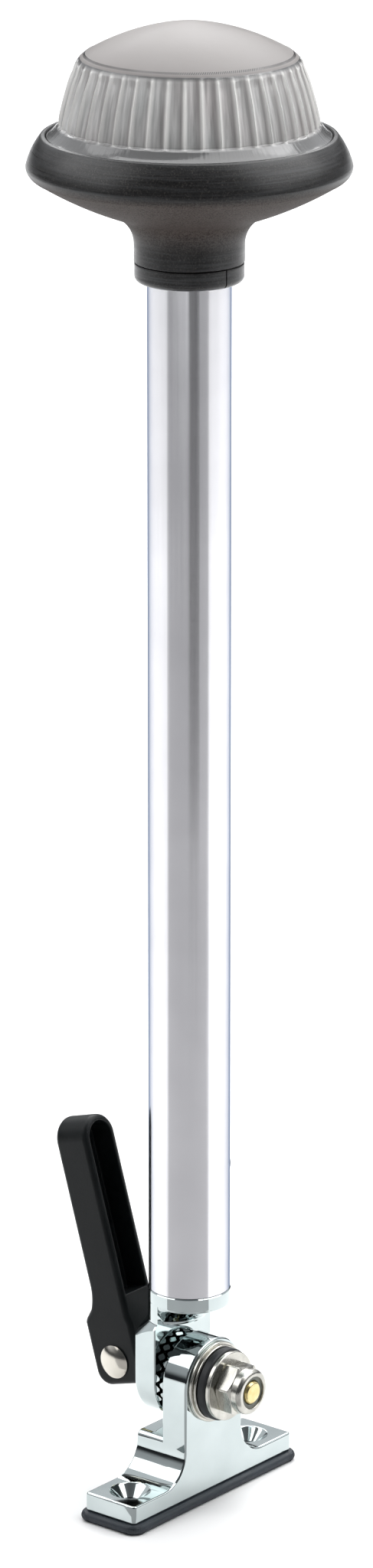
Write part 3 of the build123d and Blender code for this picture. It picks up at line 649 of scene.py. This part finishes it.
def raiseColumn(piece, angle, rise):  # part of the outer skin at one angle from the rib's middle moved outwards
    radiusLow, heightLow, slope = lens["skin"]
    halfPitch = 180 / lens["ribs"]
    for bottom, top, part in lens["fade"]:
        def onColumn(place):
            height = (place.z - headLow) / mm
            radius = math.hypot(place.x, place.y) / mm
            apart = abs(abs(math.degrees(math.atan2(place.y, place.x))) - halfPitch)
            skin = radius > radiusLow - (height - heightLow) * slope
            return bottom < height < top and skin and abs(apart - angle) < 0.2
        selectVerts(piece, onColumn)
        grow = 1 + rise * part / 37.0
        bpy.ops.transform.resize(value=(grow, grow, 1), center_override=(0, 0, 0))


def makeLens():
    outline = lens["spigot"] + lens["skirt"] + arcThrough(*lens["wall"], 11) + arcThrough(*lens["shoulder"], 5)
    outline += arcThrough(*lens["crown"], 14) + [(0.0, 76.3)] + arcThrough(*lens["crownInside"], 10)
    outline += arcThrough(*lens["wallInside"], 8) + [(36.9, 44.0)]
    pitch, steps = 360 / lens["ribs"], lens["stepsPerRib"]
    piece = lathe("lensBody", placed(outline, **headPlane), steps=steps, angle=pitch, **upAxis)
    for column in range(steps // 2 + 1):  # from the rib's crest to the middle of the flute
        share = column / (steps / 2)
        rise = lens["fluteDepth"] * (1 - share) ** 2 + (lens["crest"] if column == 0 else 0)
        raiseColumn(piece, share * pitch / 2, rise)
    bpy.ops.mesh.select_all(action="SELECT")
    copyRound(lens["ribs"], **upAxis)
    closeMesh()
    piece.data.materials.append(lensFinish)
    piece.data.materials.append(crownFinish)
    for face in piece.data.polygons:
        height = (face.center.z - headLow) / mm
        radius = math.hypot(face.center.x, face.center.y) / mm
        outside = face.normal.z > 0.2 or height > 76
        face.material_index = 1 if height > 67.4 and outside and radius < 32.3 else 0
    return piece


knurl = {"count": 300, "size": (2.7, 0.26, 0.24), "slant": 28, "tip": -40, "radius": 31.75, "height": 67.95}


def makeKnurl():  # ring of small slanted ridges round the edge of the crown
    deselectAll()
    bpy.ops.mesh.primitive_cube_add(size=1.0, location=(0, 0, 0))
    piece = bpy.context.active_object
    piece.name = "crownKnurl"
    startEdit()
    bpy.ops.transform.resize(value=Vector(knurl["size"]) * mm, center_override=(0, 0, 0))
    turnBy(knurl["slant"], "Z")
    turnBy(knurl["tip"], "Y")
    bpy.ops.transform.translate(value=(knurl["radius"] * mm, 0, headLow + knurl["height"] * mm))
    copyRound(knurl["count"], **upAxis)
    turnFacesOut()
    return piece


finishPiece(makeLens(), "lens_body", ["lens"], lensFinish, angle=28)
finishPiece(makeKnurl(), "lens_body", [], knurlPaintedShade)
print("lens modelled")


# ---- washers, nut and bolt on the pivot

boltPlane = {"origin": (0, 0, boltZ), "right": (1, 0, 0), "up": (0, 0, 1)}
boltAxis = {"centre": (0, 0, boltZ), "axis": (1, 0, 0)}
washer = {"bore": 4.0, "steps": 96}


def makeWasher(name, node, edge, material):
    low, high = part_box(node)
    bore, outer = washer["bore"], (high.z - low.z) / 2 / mm
    left, right = low.x / mm, high.x / mm
    outline = [(left, bore)] + arcPoints((left + edge, outer - edge), edge, 180, 90, 5)
    outline += arcPoints((right - edge, outer - edge), edge, 90, 0, 5) + [(right, bore)]
    piece = lathe(name, placed(outline, **boltPlane), steps=washer["steps"], **boltAxis)
    finishPiece(piece, "bolt", [node], material)


makeWasher("thrustWasher", "thrust_washer", 0.3, steelFinish)
makeWasher("backingWasher", "backing_washer", 0.35, steelFinish)
makeWasher("rubberWasher", "rubber_washer", 0.7, blackRubber)
makeWasher("outerWasher", "outer_washer", 0.35, steelFinish)


def boreTool(name, radius, left, right):
    outline = [(left, 0), (left, radius), (right, radius), (right, 0)]
    return lathe(name, placed(outline, **boltPlane), steps=64, closed=False, **boltAxis)


nut = {"flats": 15.0, "corner": 8.2, "collar": 7.3, "collarRound": 1.6, "insert": 5.1, "bore": 4.0, "turn": 12.0,
       "hexLength": 5.7}


def makeNut():
    low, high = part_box("lock_nut")
    left, right = low.x / mm, high.x / mm
    shoulder = left + nut["hexLength"]
    deselectAll()
    bpy.ops.mesh.primitive_cylinder_add(vertices=6, radius=nut["flats"] / math.sqrt(3) * mm,
                                        depth=nut["hexLength"] * mm, location=(0, 0, 0))
    piece = bpy.context.active_object
    piece.name = "lockNut"
    startEdit()
    turnBy(90, "Y")
    turnBy(nut["turn"], "X")
    bpy.ops.transform.translate(value=((left + shoulder) / 2 * mm, 0, boltZ))
    bpy.ops.object.mode_set(mode="OBJECT")
    envelope = [(left, 0), (left, nut["flats"] / 2 - 0.1), (left + 0.55, nut["corner"] + 0.3),
                (shoulder - 0.75, nut["corner"] + 0.3), (shoulder, nut["flats"] / 2 - 0.35), (shoulder, 0)]
    combine(piece, lathe("nutEnvelope", placed(envelope, **boltPlane), steps=96, closed=False, **boltAxis),
            "INTERSECT")
    roundEdges(piece, 0.18, 2, 25)
    collar, end = nut["collar"], nut["collarRound"]
    outline = [(shoulder - 0.6, nut["bore"]), (shoulder - 0.6, collar)]
    outline += arcPoints((right - end, collar - end), end, 90, 10, 8)
    outline += arcPoints((right - 0.35, nut["insert"] + 0.35), 0.35, 0, -90, 4)
    outline += [(right - 0.9, nut["insert"] + 0.15), (right - 0.9, nut["bore"])]
    cap = lathe("nutCollar", placed(outline, **boltPlane), steps=96, **boltAxis)
    combine(piece, boreTool("nutBore", nut["bore"], left - 1, right + 1), "DIFFERENCE")
    joinAll(piece, [cap])
    finishPiece(piece, "bolt", ["lock_nut"], steelFinish, angle=30)


makeNut()

bolt = {"radius": 4.0, "eye": 6.0, "eyeHalf": 3.8, "pinBore": 3.05}


def makeBolt():
    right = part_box("pivot_bolt")[1].x / mm
    start = pinX / mm
    outline = [(start + 4.5, 0), (start + 4.5, bolt["radius"]), (right - 1.5, bolt["radius"])]
    outline += [(right - 0.7, bolt["radius"] - 0.55)]
    outline += arcPoints((right - 0.8, bolt["radius"] - 1.2), 0.55, 80, 15, 5)
    outline += [(right - 0.1, 1.8), (right, 0.9), (right, 0)]
    piece = lathe("pivotEyeBolt", placed(outline, **boltPlane), steps=64, closed=False, **boltAxis)
    half = bolt["eyeHalf"]
    profile = [(bolt["pinBore"], -half), (bolt["eye"] - 0.5, -half), (bolt["eye"], -half + 0.5),
               (bolt["eye"], half - 0.5), (bolt["eye"] - 0.5, half), (bolt["pinBore"], half)]
    points = placed(profile, (pinX, 0, boltZ), (1, 0, 0), (0, 1, 0))
    eye = lathe("boltEye", points, steps=64, centre=(pinX, 0, boltZ), axis=(0, 1, 0))
    combine(piece, eye, "UNION")
    finishPiece(piece, "bolt", ["pivot_bolt"], brassFinish)


makeBolt()
insert = smoothCopy("nut_insert", "nutInsert")
finishPiece(insert, "bolt", ["nut_insert"], nylonFinish)
print("pivot hardware modelled")


# ---- cam lever and its pin

lever = {"lean": 16.5, "half": 7.25, "top": 78.5, "inner": 9.3, "outer": -3.8, "blockOuter": -9.0, "blockInner": 10.0,
         "blockLow": -7.8, "shoulder": 14.0, "rounding": 1.7, "edge": 0.5, "channelHalf": 5.1, "channelFloor": 1.2,
         "channelLow": 21.0, "slotRadius": 6.6, "slotHalf": 4.3, "bore": 3.0}
leanCos = math.cos(math.radians(lever["lean"]))
leanSin = math.sin(math.radians(lever["lean"]))
leverU = Vector((leanCos, 0, leanSin))
leverV = Vector((-leanSin, 0, leanCos))
pinCentre = Vector((pinX, 0, boltZ))
sidePlane = {"right": leverU, "up": leverV}


def makeLever():
    low, shoulder = lever["blockLow"], lever["shoulder"]
    outer, inner = lever["outer"], lever["inner"]
    side = [(lever["blockInner"], shoulder - 2), (lever["blockInner"], low + 2)]
    side += arcPoints((lever["blockInner"] - 2, low + 2), 2, 0, -90, 5)[1:]
    side += arcPoints((lever["blockOuter"] + 5, low + 5), 5, 270, 180, 10)
    side += [(lever["blockOuter"], shoulder - 0.6), (lever["blockOuter"] + 0.5, shoulder + 0.4)]
    side += arcThrough((lever["blockOuter"] + 3.2, shoulder + 3.2), (outer - 0.9, shoulder + 5.8),
                       (outer, shoulder + 10.5), 6)
    side += [(outer, lever["top"] + 3), (inner, lever["top"] + 3), (inner, shoulder)]
    start = pinCentre - Vector((0, lever["half"] * mm, 0))
    piece = slab("camLever", placed(side, start, **sidePlane), (0, 2 * lever["half"] * mm, 0))
    arch = [(lever["half"], -14)] + arcPoints((0, lever["top"] - lever["half"]), lever["half"], 0, 180, 24)
    arch += [(-lever["half"], -14)]
    wide = 1.001  # a hair wider than the lever, so that only the rounded end cuts
    arch = [(x * wide, y) for x, y in arch]
    points = placed(arch, pinCentre - leverU * 20 * mm, (0, 1, 0), leverV)
    combine(piece, slab("leverArch", points, leverU * 40 * mm), "INTERSECT")
    roundEdges(piece, lever["rounding"], 4, 45)
    top = lever["top"] - 2.1 - lever["channelHalf"]
    channel = [(lever["channelHalf"], lever["channelLow"])]
    channel += arcPoints((0, top), lever["channelHalf"], 0, 180, 16) + [(-lever["channelHalf"], lever["channelLow"])]
    points = placed(channel, pinCentre + leverU * (inner + 3) * mm, (0, 1, 0), leverV)
    combine(piece, slab("leverChannel", points, leverU * (lever["channelFloor"] - inner - 3) * mm), "DIFFERENCE")
    radius, half = lever["slotRadius"], lever["slotHalf"]
    slot = [(14, -12), (14, radius)] + arcPoints((0, 0), radius, 90, 180, 10) + [(-radius, -12)]
    points = placed(slot, pinCentre - Vector((0, half * mm, 0)), **sidePlane)
    combine(piece, slab("leverSlot", points, (0, 2 * half * mm, 0)), "DIFFERENCE")
    bore = arcPoints((0, 0), lever["bore"], 0, 345, 23)
    points = placed(bore, pinCentre - Vector((0, 10 * mm, 0)), **sidePlane)
    combine(piece, slab("leverBore", points, (0, 20 * mm, 0)), "DIFFERENCE")
    roundEdges(piece, lever["edge"], 3, 55)
    finishPiece(piece, "cam_lever", ["lever"], leverFinish, angle=30)


makeLever()

pin = {"head": 5.4, "height": 2.0, "rim": 0.45, "shank": 3.0}


def makePin():
    half = lever["half"]
    dome = arcThrough((pin["head"], pin["rim"]), (pin["head"] * 0.62, pin["height"] * 0.74), (0.0, pin["height"]), 10)
    outline = [(x, half + y) for x, y in reversed(dome)]
    outline += [(pin["head"] - 0.15, half + 0.1), (pin["head"] - 0.3, half), (pin["shank"], half)]
    outline += [(x, -y) for x, y in reversed(outline)]
    points = placed(outline, pinCentre, (1, 0, 0), (0, 1, 0))
    piece = lathe("domedPin", points, centre=pinCentre, axis=(0, 1, 0), steps=64, closed=False)
    finishPiece(piece, "cam_lever", ["lever_pin"], pinFinish, angle=50)


makePin()
print("lever modelled")


# ---- gasket and chromed casting

gasket = {"corner": 4.2, "bead": 1.35, "holeRadius": 3.4}
screws = {"spacing": 58.7, "hole": 3.0, "sink": 6.4}


def roundedRectangle(halfX, halfY, corner, count):
    points = []
    for signX, signY, start in ((1, 1, 0), (-1, 1, 90), (-1, -1, 180), (1, -1, 270)):
        centre = (signX * (halfX - corner), signY * (halfY - corner))
        points += arcPoints(centre, corner, start, start + 90, count)
    return points


def screwTool(name, y, outline):  # lathed cutter, upright, at one of the screw places
    points = placed(outline, (0, y * mm, 0), (1, 0, 0), (0, 0, 1))
    return lathe(name, points, centre=(0, y * mm, 0), axis=(0, 0, 1), steps=48, closed=False)


def makeGasket():
    low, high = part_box("base_gasket")
    thick = (high.z - low.z) / mm
    outline = roundedRectangle(high.x / mm, high.y / mm, gasket["corner"], 8)
    piece = slab("deckGasket", placed(outline, (0, 0, low.z), (1, 0, 0), (0, 1, 0)), (0, 0, thick * mm))
    makeActive(piece)
    bpy.ops.object.mode_set(mode="EDIT")
    selectVerts(piece, lambda place: place.z > high.z - 0.1 * mm)
    bpy.ops.mesh.bevel(offset=gasket["bead"] * mm, segments=6, affect="EDGES")
    selectVerts(piece, lambda place: place.z < low.z + 0.01 * mm)
    bpy.ops.mesh.bevel(offset=0.4 * mm, segments=2, affect="EDGES")
    bpy.ops.object.mode_set(mode="OBJECT")
    for side in (-1, 1):
        hole = [(0, -1), (gasket["holeRadius"], -1), (gasket["holeRadius"], thick + 1), (0, thick + 1)]
        combine(piece, screwTool("gasketHole", side * screws["spacing"] / 2, hole), "DIFFERENCE")
    finishPiece(piece, "base", ["base_gasket"], rubberFinish)


casting = {"halfX": 10.0, "halfY": 39.35, "plate": 6.1, "sweep": 10.4, "block": 14.0, "blockTop": 18.9,
           "blockRound": 2.3, "corner": 1.3, "earInner": 0.3, "earRadius": 14.0, "edge": 0.7, "bore": 4.05}
teeth = {"count": 24, "height": 1.25, "inner": 9.0, "outer": 13.4, "root": 5.5, "tip": 1.5, "sunk": 0.3}


def makeTeeth(name, face, side, first):  # one tooth drawn and pushed out, then turned round the bolt
    outline = []
    for reach, spread in ((-teeth["sunk"], "root"), (0, "root"), (teeth["height"], "tip")):
        outline.append((face + side * reach, -teeth["inner"] * math.sin(math.radians(teeth[spread]))))
    outline += [(x, -y) for x, y in reversed(outline)]
    points = placed(outline, (0, teeth["inner"] * mm, boltZ), (1, 0, 0), (0, 0, 1))
    piece = slab(name, points, (0, (teeth["outer"] - teeth["inner"]) * mm, 0))
    bpy.ops.object.mode_set(mode="EDIT")
    selectVerts(piece, lambda place: place.y > (teeth["outer"] - 0.1) * mm)
    widen = teeth["outer"] / teeth["inner"]
    bpy.ops.transform.resize(value=(1, 1, widen), center_override=(0, 0, boltZ))
    bpy.ops.mesh.select_all(action="SELECT")
    turnBy(first, "X", (0, 0, boltZ))
    copyRound(teeth["count"], **boltAxis)
    turnFacesOut()
    return piece


def castingSide(top):  # right half of the side view: plate end, plate, sweep up to the block
    low = castingLow.z / mm
    plateTop = low + casting["plate"]
    centre = (casting["block"] + casting["sweep"], plateTop + casting["sweep"])
    half = [(casting["halfY"], low), (casting["halfY"], plateTop), (centre[0] + 4, plateTop)]
    half += arcPoints(centre, casting["sweep"], 270, 180, 20)
    half += top
    return half + [(-y, z) for y, z in reversed(half) if y > 0.001]


def castingPrism(name, outline, left, right, corners):
    points = placed(outline, (left * mm, 0, 0), (0, 1, 0), (0, 0, 1))
    piece = slab(name, points, ((right - left) * mm, 0, 0))
    end = (casting["halfY"] - 0.05) * mm

    def atCorner(one, two):
        upright = abs(one.z - two.z) > mm
        return upright and abs(one.y) > end and abs(two.y) > end and abs(one.x - corners * mm) < 0.01 * mm
    bevelEdges(piece, casting["corner"], 6, atCorner)
    roundEdges(piece, casting["edge"], 4, 35)
    return piece


def makeCasting():
    low = castingLow.z / mm
    plateTop = low + casting["plate"]
    blockTop = low + casting["blockTop"]
    block, halfX, corner = casting["block"], casting["halfX"], casting["blockRound"]
    shoulder = arcPoints((block - corner, blockTop - corner), corner, 0, 90, 8)
    piece = castingPrism("deckCasting", castingSide(shoulder), -halfX, halfX - 3, -halfX)
    ear = arcPoints((0, boltZ / mm), casting["earRadius"], 0, 90, 28)
    combine(piece, castingPrism("castingEar", castingSide(ear), casting["earInner"], halfX, halfX), "UNION")
    sink, hole = screws["sink"], screws["hole"]
    for side in (-1, 1):
        outline = [(0, low - 1), (hole, low - 1), (hole, plateTop - (sink - hole) - 0.3),
                   (sink - 0.25, plateTop - 0.4), (sink, plateTop - 0.1), (sink + 0.35, plateTop + 0.05),
                   (sink + 0.35, plateTop + 3), (0, plateTop + 3)]
        combine(piece, screwTool("castingHole", side * screws["spacing"] / 2, outline), "DIFFERENCE")
    combine(piece, boreTool("castingBore", casting["bore"], -20, 20), "DIFFERENCE")
    joinAll(piece, [makeTeeth("earTeeth", casting["earInner"], -1, 0.0)])
    finishPiece(piece, "base", ["base_casting"], chrome, angle=30)


makeGasket()
makeCasting()
print("base modelled")


# ---- knuckle

knuckle = {"outer": -11.3, "inner": -2.5, "half": 14.0, "shoulder": 52.9, "corner": 18.0, "join": 58.4,
           "collar": 12.95, "collarLow": 63.9, "boss": 10.7, "bossLow": 57.8, "top": 68.8, "spigot": 11.35,
           "spigotTop": 92.8, "wire": 5.0, "outerEdge": 1.7, "innerEdge": 0.45}


def makeBoss():  # circle under the collar drawn down and across to a smaller circle, the back half cut off
    low, bossLow = knuckle["collarLow"], knuckle["bossLow"]
    wide, narrow = knuckle["collar"] - 0.12, knuckle["boss"]
    shift = (knuckle["outer"] + knuckle["inner"]) / 2
    deselectAll()
    bpy.ops.mesh.primitive_circle_add(vertices=128, radius=wide * mm, location=(0, 0, (low + 1.2) * mm))
    piece = bpy.context.active_object
    piece.name = "knuckleBoss"
    startEdit()
    bpy.ops.mesh.edge_face_add()
    radius, centre, height = wide, 0.0, low + 1.2
    fall = low - bossLow - 1.0
    rings = [(wide, 0.0, low + 0.2)]
    for step in range(1, 9):
        share = step / 8
        eased = share + 0.10 * math.sin(math.pi * share)
        rings.append((wide + (narrow - wide) * eased, shift * eased, low + 0.2 - (fall + 0.2) * share))
    rings += [(narrow, shift, bossLow + 0.5), (narrow - 0.15, shift, bossLow + 0.15), (narrow - 0.5, shift, bossLow)]
    for ringRadius, ringX, ringZ in rings:
        bpy.ops.mesh.extrude_region_move(TRANSFORM_OT_translate={"value": (0, 0, (ringZ - height) * mm)})
        grow = ringRadius / radius
        bpy.ops.transform.resize(value=(grow, grow, 1), center_override=(centre * mm, 0, 0))
        bpy.ops.transform.translate(value=((ringX - centre) * mm, 0, 0))
        radius, centre, height = ringRadius, ringX, ringZ
    closeMesh()
    front = [(knuckle["inner"] - 1, -20), (20, -20), (20, 20), (knuckle["inner"] - 1, 20)]
    points = placed(front, (0, 0, 50 * mm), (1, 0, 0), (0, 1, 0))
    combine(piece, slab("bossFront", points, (0, 0, 20 * mm)), "INTERSECT")
    return piece


def makeKnuckle():
    middle = boltZ / mm
    half, collar, low = knuckle["half"], knuckle["collar"], knuckle["collarLow"]
    outline = arcPoints((0, 0), half, 180, 360, 48)
    outline += [(half, low + 1 - middle), (-half, low + 1 - middle)]
    points = placed(outline, (knuckle["outer"] * mm, 0, boltZ), (0, 1, 0), (0, 0, 1))
    piece = slab("poleKnuckle", points, ((knuckle["inner"] - knuckle["outer"]) * mm, 0, 0))
    rims = [(knuckle["outer"] * mm, knuckle["outerEdge"], 5), (knuckle["inner"] * mm, knuckle["innerEdge"], 3)]
    for place, width, segments in rims:
        bevelEdges(piece, width, segments,
                   lambda one, two: abs(one.x - place) < 0.01 * mm and abs(two.x - place) < 0.01 * mm)
    join = knuckle["join"]
    envelope = [(0, 20), (19, 20), (19, knuckle["shoulder"] - 1), (knuckle["corner"], knuckle["shoulder"]),
                (collar + 0.15, join - 0.2), (collar - 0.03, join + 0.3), (collar - 0.03, low + 1.5), (0, low + 1.5)]
    tool = lathe("knuckleEnvelope", placed(envelope, **deckPlane), steps=128, closed=False, **upAxis)
    combine(piece, tool, "INTERSECT")
    combine(piece, makeBoss(), "UNION")
    top = knuckle["top"]
    profile = [(0, low)] + arcPoints((collar - 1.0, low + 1.0), 1.0, -90, 0, 7)
    profile += [(collar, top - 0.3), (collar - 0.3, top), (knuckle["spigot"], top)]
    profile += [(knuckle["spigot"], knuckle["spigotTop"]), (0, knuckle["spigotTop"])]
    combine(piece, lathe("knuckleCollar", placed(profile, **deckPlane), steps=128, closed=False, **upAxis), "UNION")
    combine(piece, boreTool("knuckleBore", casting["bore"], -20, 20), "DIFFERENCE")
    wire = [(0, low + 2), (knuckle["wire"], low + 2), (knuckle["wire"], 100), (0, 100)]
    combine(piece, lathe("wireWay", placed(wire, **deckPlane), steps=48, closed=False, **upAxis), "DIFFERENCE")
    joinAll(piece, [makeTeeth("knuckleTeeth", knuckle["inner"], 1, 7.5)])
    finishPiece(piece, "mast", ["knuckle"], chrome, angle=30)


makeKnuckle()
print("knuckle modelled")


# ---- small parts that keep their CAD shape, merged so that they shade smoothly

smallParts = [
    ("pole_rivet", "poleRivet", "mast", "pole_alu", poleFinish),
    ("wire_grommet", "wireGrommet", "mast", "rubber", blackRubber),
    ("lead_red", "leadRed", "mast", "red_insulation", redFinish),
    ("lead_black", "leadBlack", "mast", "black_insulation", blackFinish),
    ("neck_screw", "neckScrew", "mast", "stainless", steelFinish),
    ("lens_seal", "lensSeal", "mast", "rubber", blackRubber),
    ("holder_plate", "holderPlate", "mast", "white_plastic", whiteFinish),
    ("plate_screws", "plateScrews", "mast", "stainless", steelFinish),
    ("lamp_socket", "lampSocket", "mast", "nickel", nickelFinish),
    ("socket_insulator", "socketInsulator", "mast", "phenolic", phenolicFinish),
    ("contact_left", "contactLeft", "mast", "brass", brassFinish),
    ("contact_right", "contactRight", "mast", "brass", brassFinish),
    ("bulb_cap", "bulbCap", "mast", "brass", brassFinish),
    ("bulb_glass", "bulbGlass", "mast", "bulb_glass", bulbFinish),
    ("filament", "filamentCoil", "mast", "tungsten", nickelFinish),
]
for node, name, body, slot, material in smallParts:
    finishPiece(smoothCopy(node, name), body, [node], material)
print("small parts finished")


# ---- studio: floor, lights, camera

studio = {"azimuth": 39.0, "elevation": 17.0, "distance": 2.0, "focal": 150.2, "aim": (-0.86 * mm, 232.8 * mm),
          "skyFront": (0.10, 0.105, 0.11), "skyBack": (0.95, 0.97, 1.0), "skyStrength": 0.75,
          "skySpread": (-0.2, 0.75), "skyBand": (0.03, 0.032, 0.036), "band": (0.10, 0.32),
          "backdrop": (1.25, 1.25, 1.25), "floor": (0.86, 0.86, 0.86), "floorSize": 24}
cards = [("frontCard", -62, 54, 0.075, 3.0, (0.36, 0.358, 0.362)), ("darkCard", -1, 27, 0.75, 3.0, (0.10, 0.10, 0.10))]
panels = [  # azimuth from the camera, elevation, distance, width, height, power, aim
    ("leftPanel", -85, 42, 1.6, 1.5, 1.0, 8, (0, 0, 0.25)),
    ("rightPanel", 85, 42, 1.6, 1.5, 1.0, 10, (0, 0, 0.25)),
    ("topPanel", 150, 72, 2.4, 3.0, 2.4, 62, (0, 0, 0.25)),
    ("farPanel", 180, 35, 4.4, 4.0, 3.0, 120, (0, 0, 0.1)),
]


def away(azimuth, elevation):  # unit vector from the object towards a place round it
    a, e = math.radians(azimuth), math.radians(elevation)
    return Vector((math.sin(a) * math.cos(e), -math.cos(a) * math.cos(e), math.sin(e)))


def addPanel(name, turned, elevation, distance, width, height, power, aim):
    direction = away(studio["azimuth"] + turned, elevation)
    deselectAll()
    bpy.ops.object.light_add(type="AREA", location=Vector(aim) + direction * distance)
    panel = bpy.context.active_object
    panel.name = name
    panel.data.shape = "RECTANGLE"
    panel.data.size = width
    panel.data.size_y = height
    panel.data.energy = power
    panel.rotation_euler = direction.to_track_quat("Z", "Y").to_euler()


def addStage(name, shade, roughness):  # gives the plane just made its name and colour
    plane = bpy.context.active_object
    plane.name = name
    material, tree, shader, place = startMaterial(name)
    shader.inputs["Base Color"].default_value = (*shade, 1)
    shader.inputs["Roughness"].default_value = roughness
    plane.data.materials.append(material)
    return plane


def addCard(name, start, end, near, far, shade):  # grey card on the floor that only reflections see
    first, last = away(studio["azimuth"] + start, 0), away(studio["azimuth"] + end, 0)
    lift = Vector((0, 0, 2 * mm))
    drawOutline(name, [first * near + lift, last * near + lift, last * far + lift, first * far + lift])
    bpy.ops.mesh.edge_face_add()
    bpy.ops.object.mode_set(mode="OBJECT")
    card = addStage(name, shade, 1.0)
    for kind in ("visible_camera", "visible_diffuse", "visible_shadow", "visible_transmission"):
        setattr(card, kind, False)


def makeWorld():  # bright behind the object, darker on the camera's side, with a dark band at the horizon
    world = bpy.data.worlds.new("studioWorld")
    world.use_nodes = True
    tree = world.node_tree
    place = addNode(tree, "ShaderNodeTexCoord")
    towards = addNode(tree, "ShaderNodeVectorMath", operation="DOT_PRODUCT")
    towards.inputs[1].default_value = away(studio["azimuth"], 10)
    feed(tree, towards.inputs[0], place.outputs["Generated"])
    spread = rangeOf(tree, towards.outputs["Value"], *studio["skySpread"], smooth=True)
    sky = mixOf(tree, spread, studio["skyBack"], studio["skyFront"])
    upward = addNode(tree, "ShaderNodeSeparateXYZ")
    feed(tree, upward.inputs["Vector"], place.outputs["Generated"])
    rise = rangeOf(tree, upward.outputs["Z"], *studio["band"], smooth=True)
    seen = addNode(tree, "ShaderNodeLightPath")
    color = mixOf(tree, seen.outputs["Is Camera Ray"], mixOf(tree, rise, studio["skyBand"], sky), studio["backdrop"])
    background = tree.nodes["Background"]
    feed(tree, background.inputs["Color"], color)
    background.inputs["Strength"].default_value = studio["skyStrength"]
    bpy.context.scene.world = world
    bpy.context.scene.view_settings.view_transform = "Standard"


def makeStudio():
    deselectAll()
    bpy.ops.mesh.primitive_plane_add(size=studio["floorSize"], location=(0, 0, 0))
    addStage("studioFloor", studio["floor"], 0.9)
    for card in cards:
        addCard(*card)
    for panel in panels:
        addPanel(*panel)
    bpy.context.active_object.rotation_euler = (0, 0, 0)  # the far panel looks straight down
    makeWorld()


def makeCamera():
    side = Vector((math.cos(math.radians(studio["azimuth"])), math.sin(math.radians(studio["azimuth"])), 0))
    aim = side * studio["aim"][0] + Vector((0, 0, studio["aim"][1]))
    direction = away(studio["azimuth"], studio["elevation"])
    deselectAll()
    bpy.ops.object.camera_add(location=aim + direction * studio["distance"],
                              rotation=direction.to_track_quat("Z", "Y").to_euler())
    camera = bpy.context.active_object
    camera.name = "studioCamera"
    camera.data.lens = studio["focal"]
    bpy.context.scene.camera = camera


makeStudio()
makeCamera()
print("studio ready")
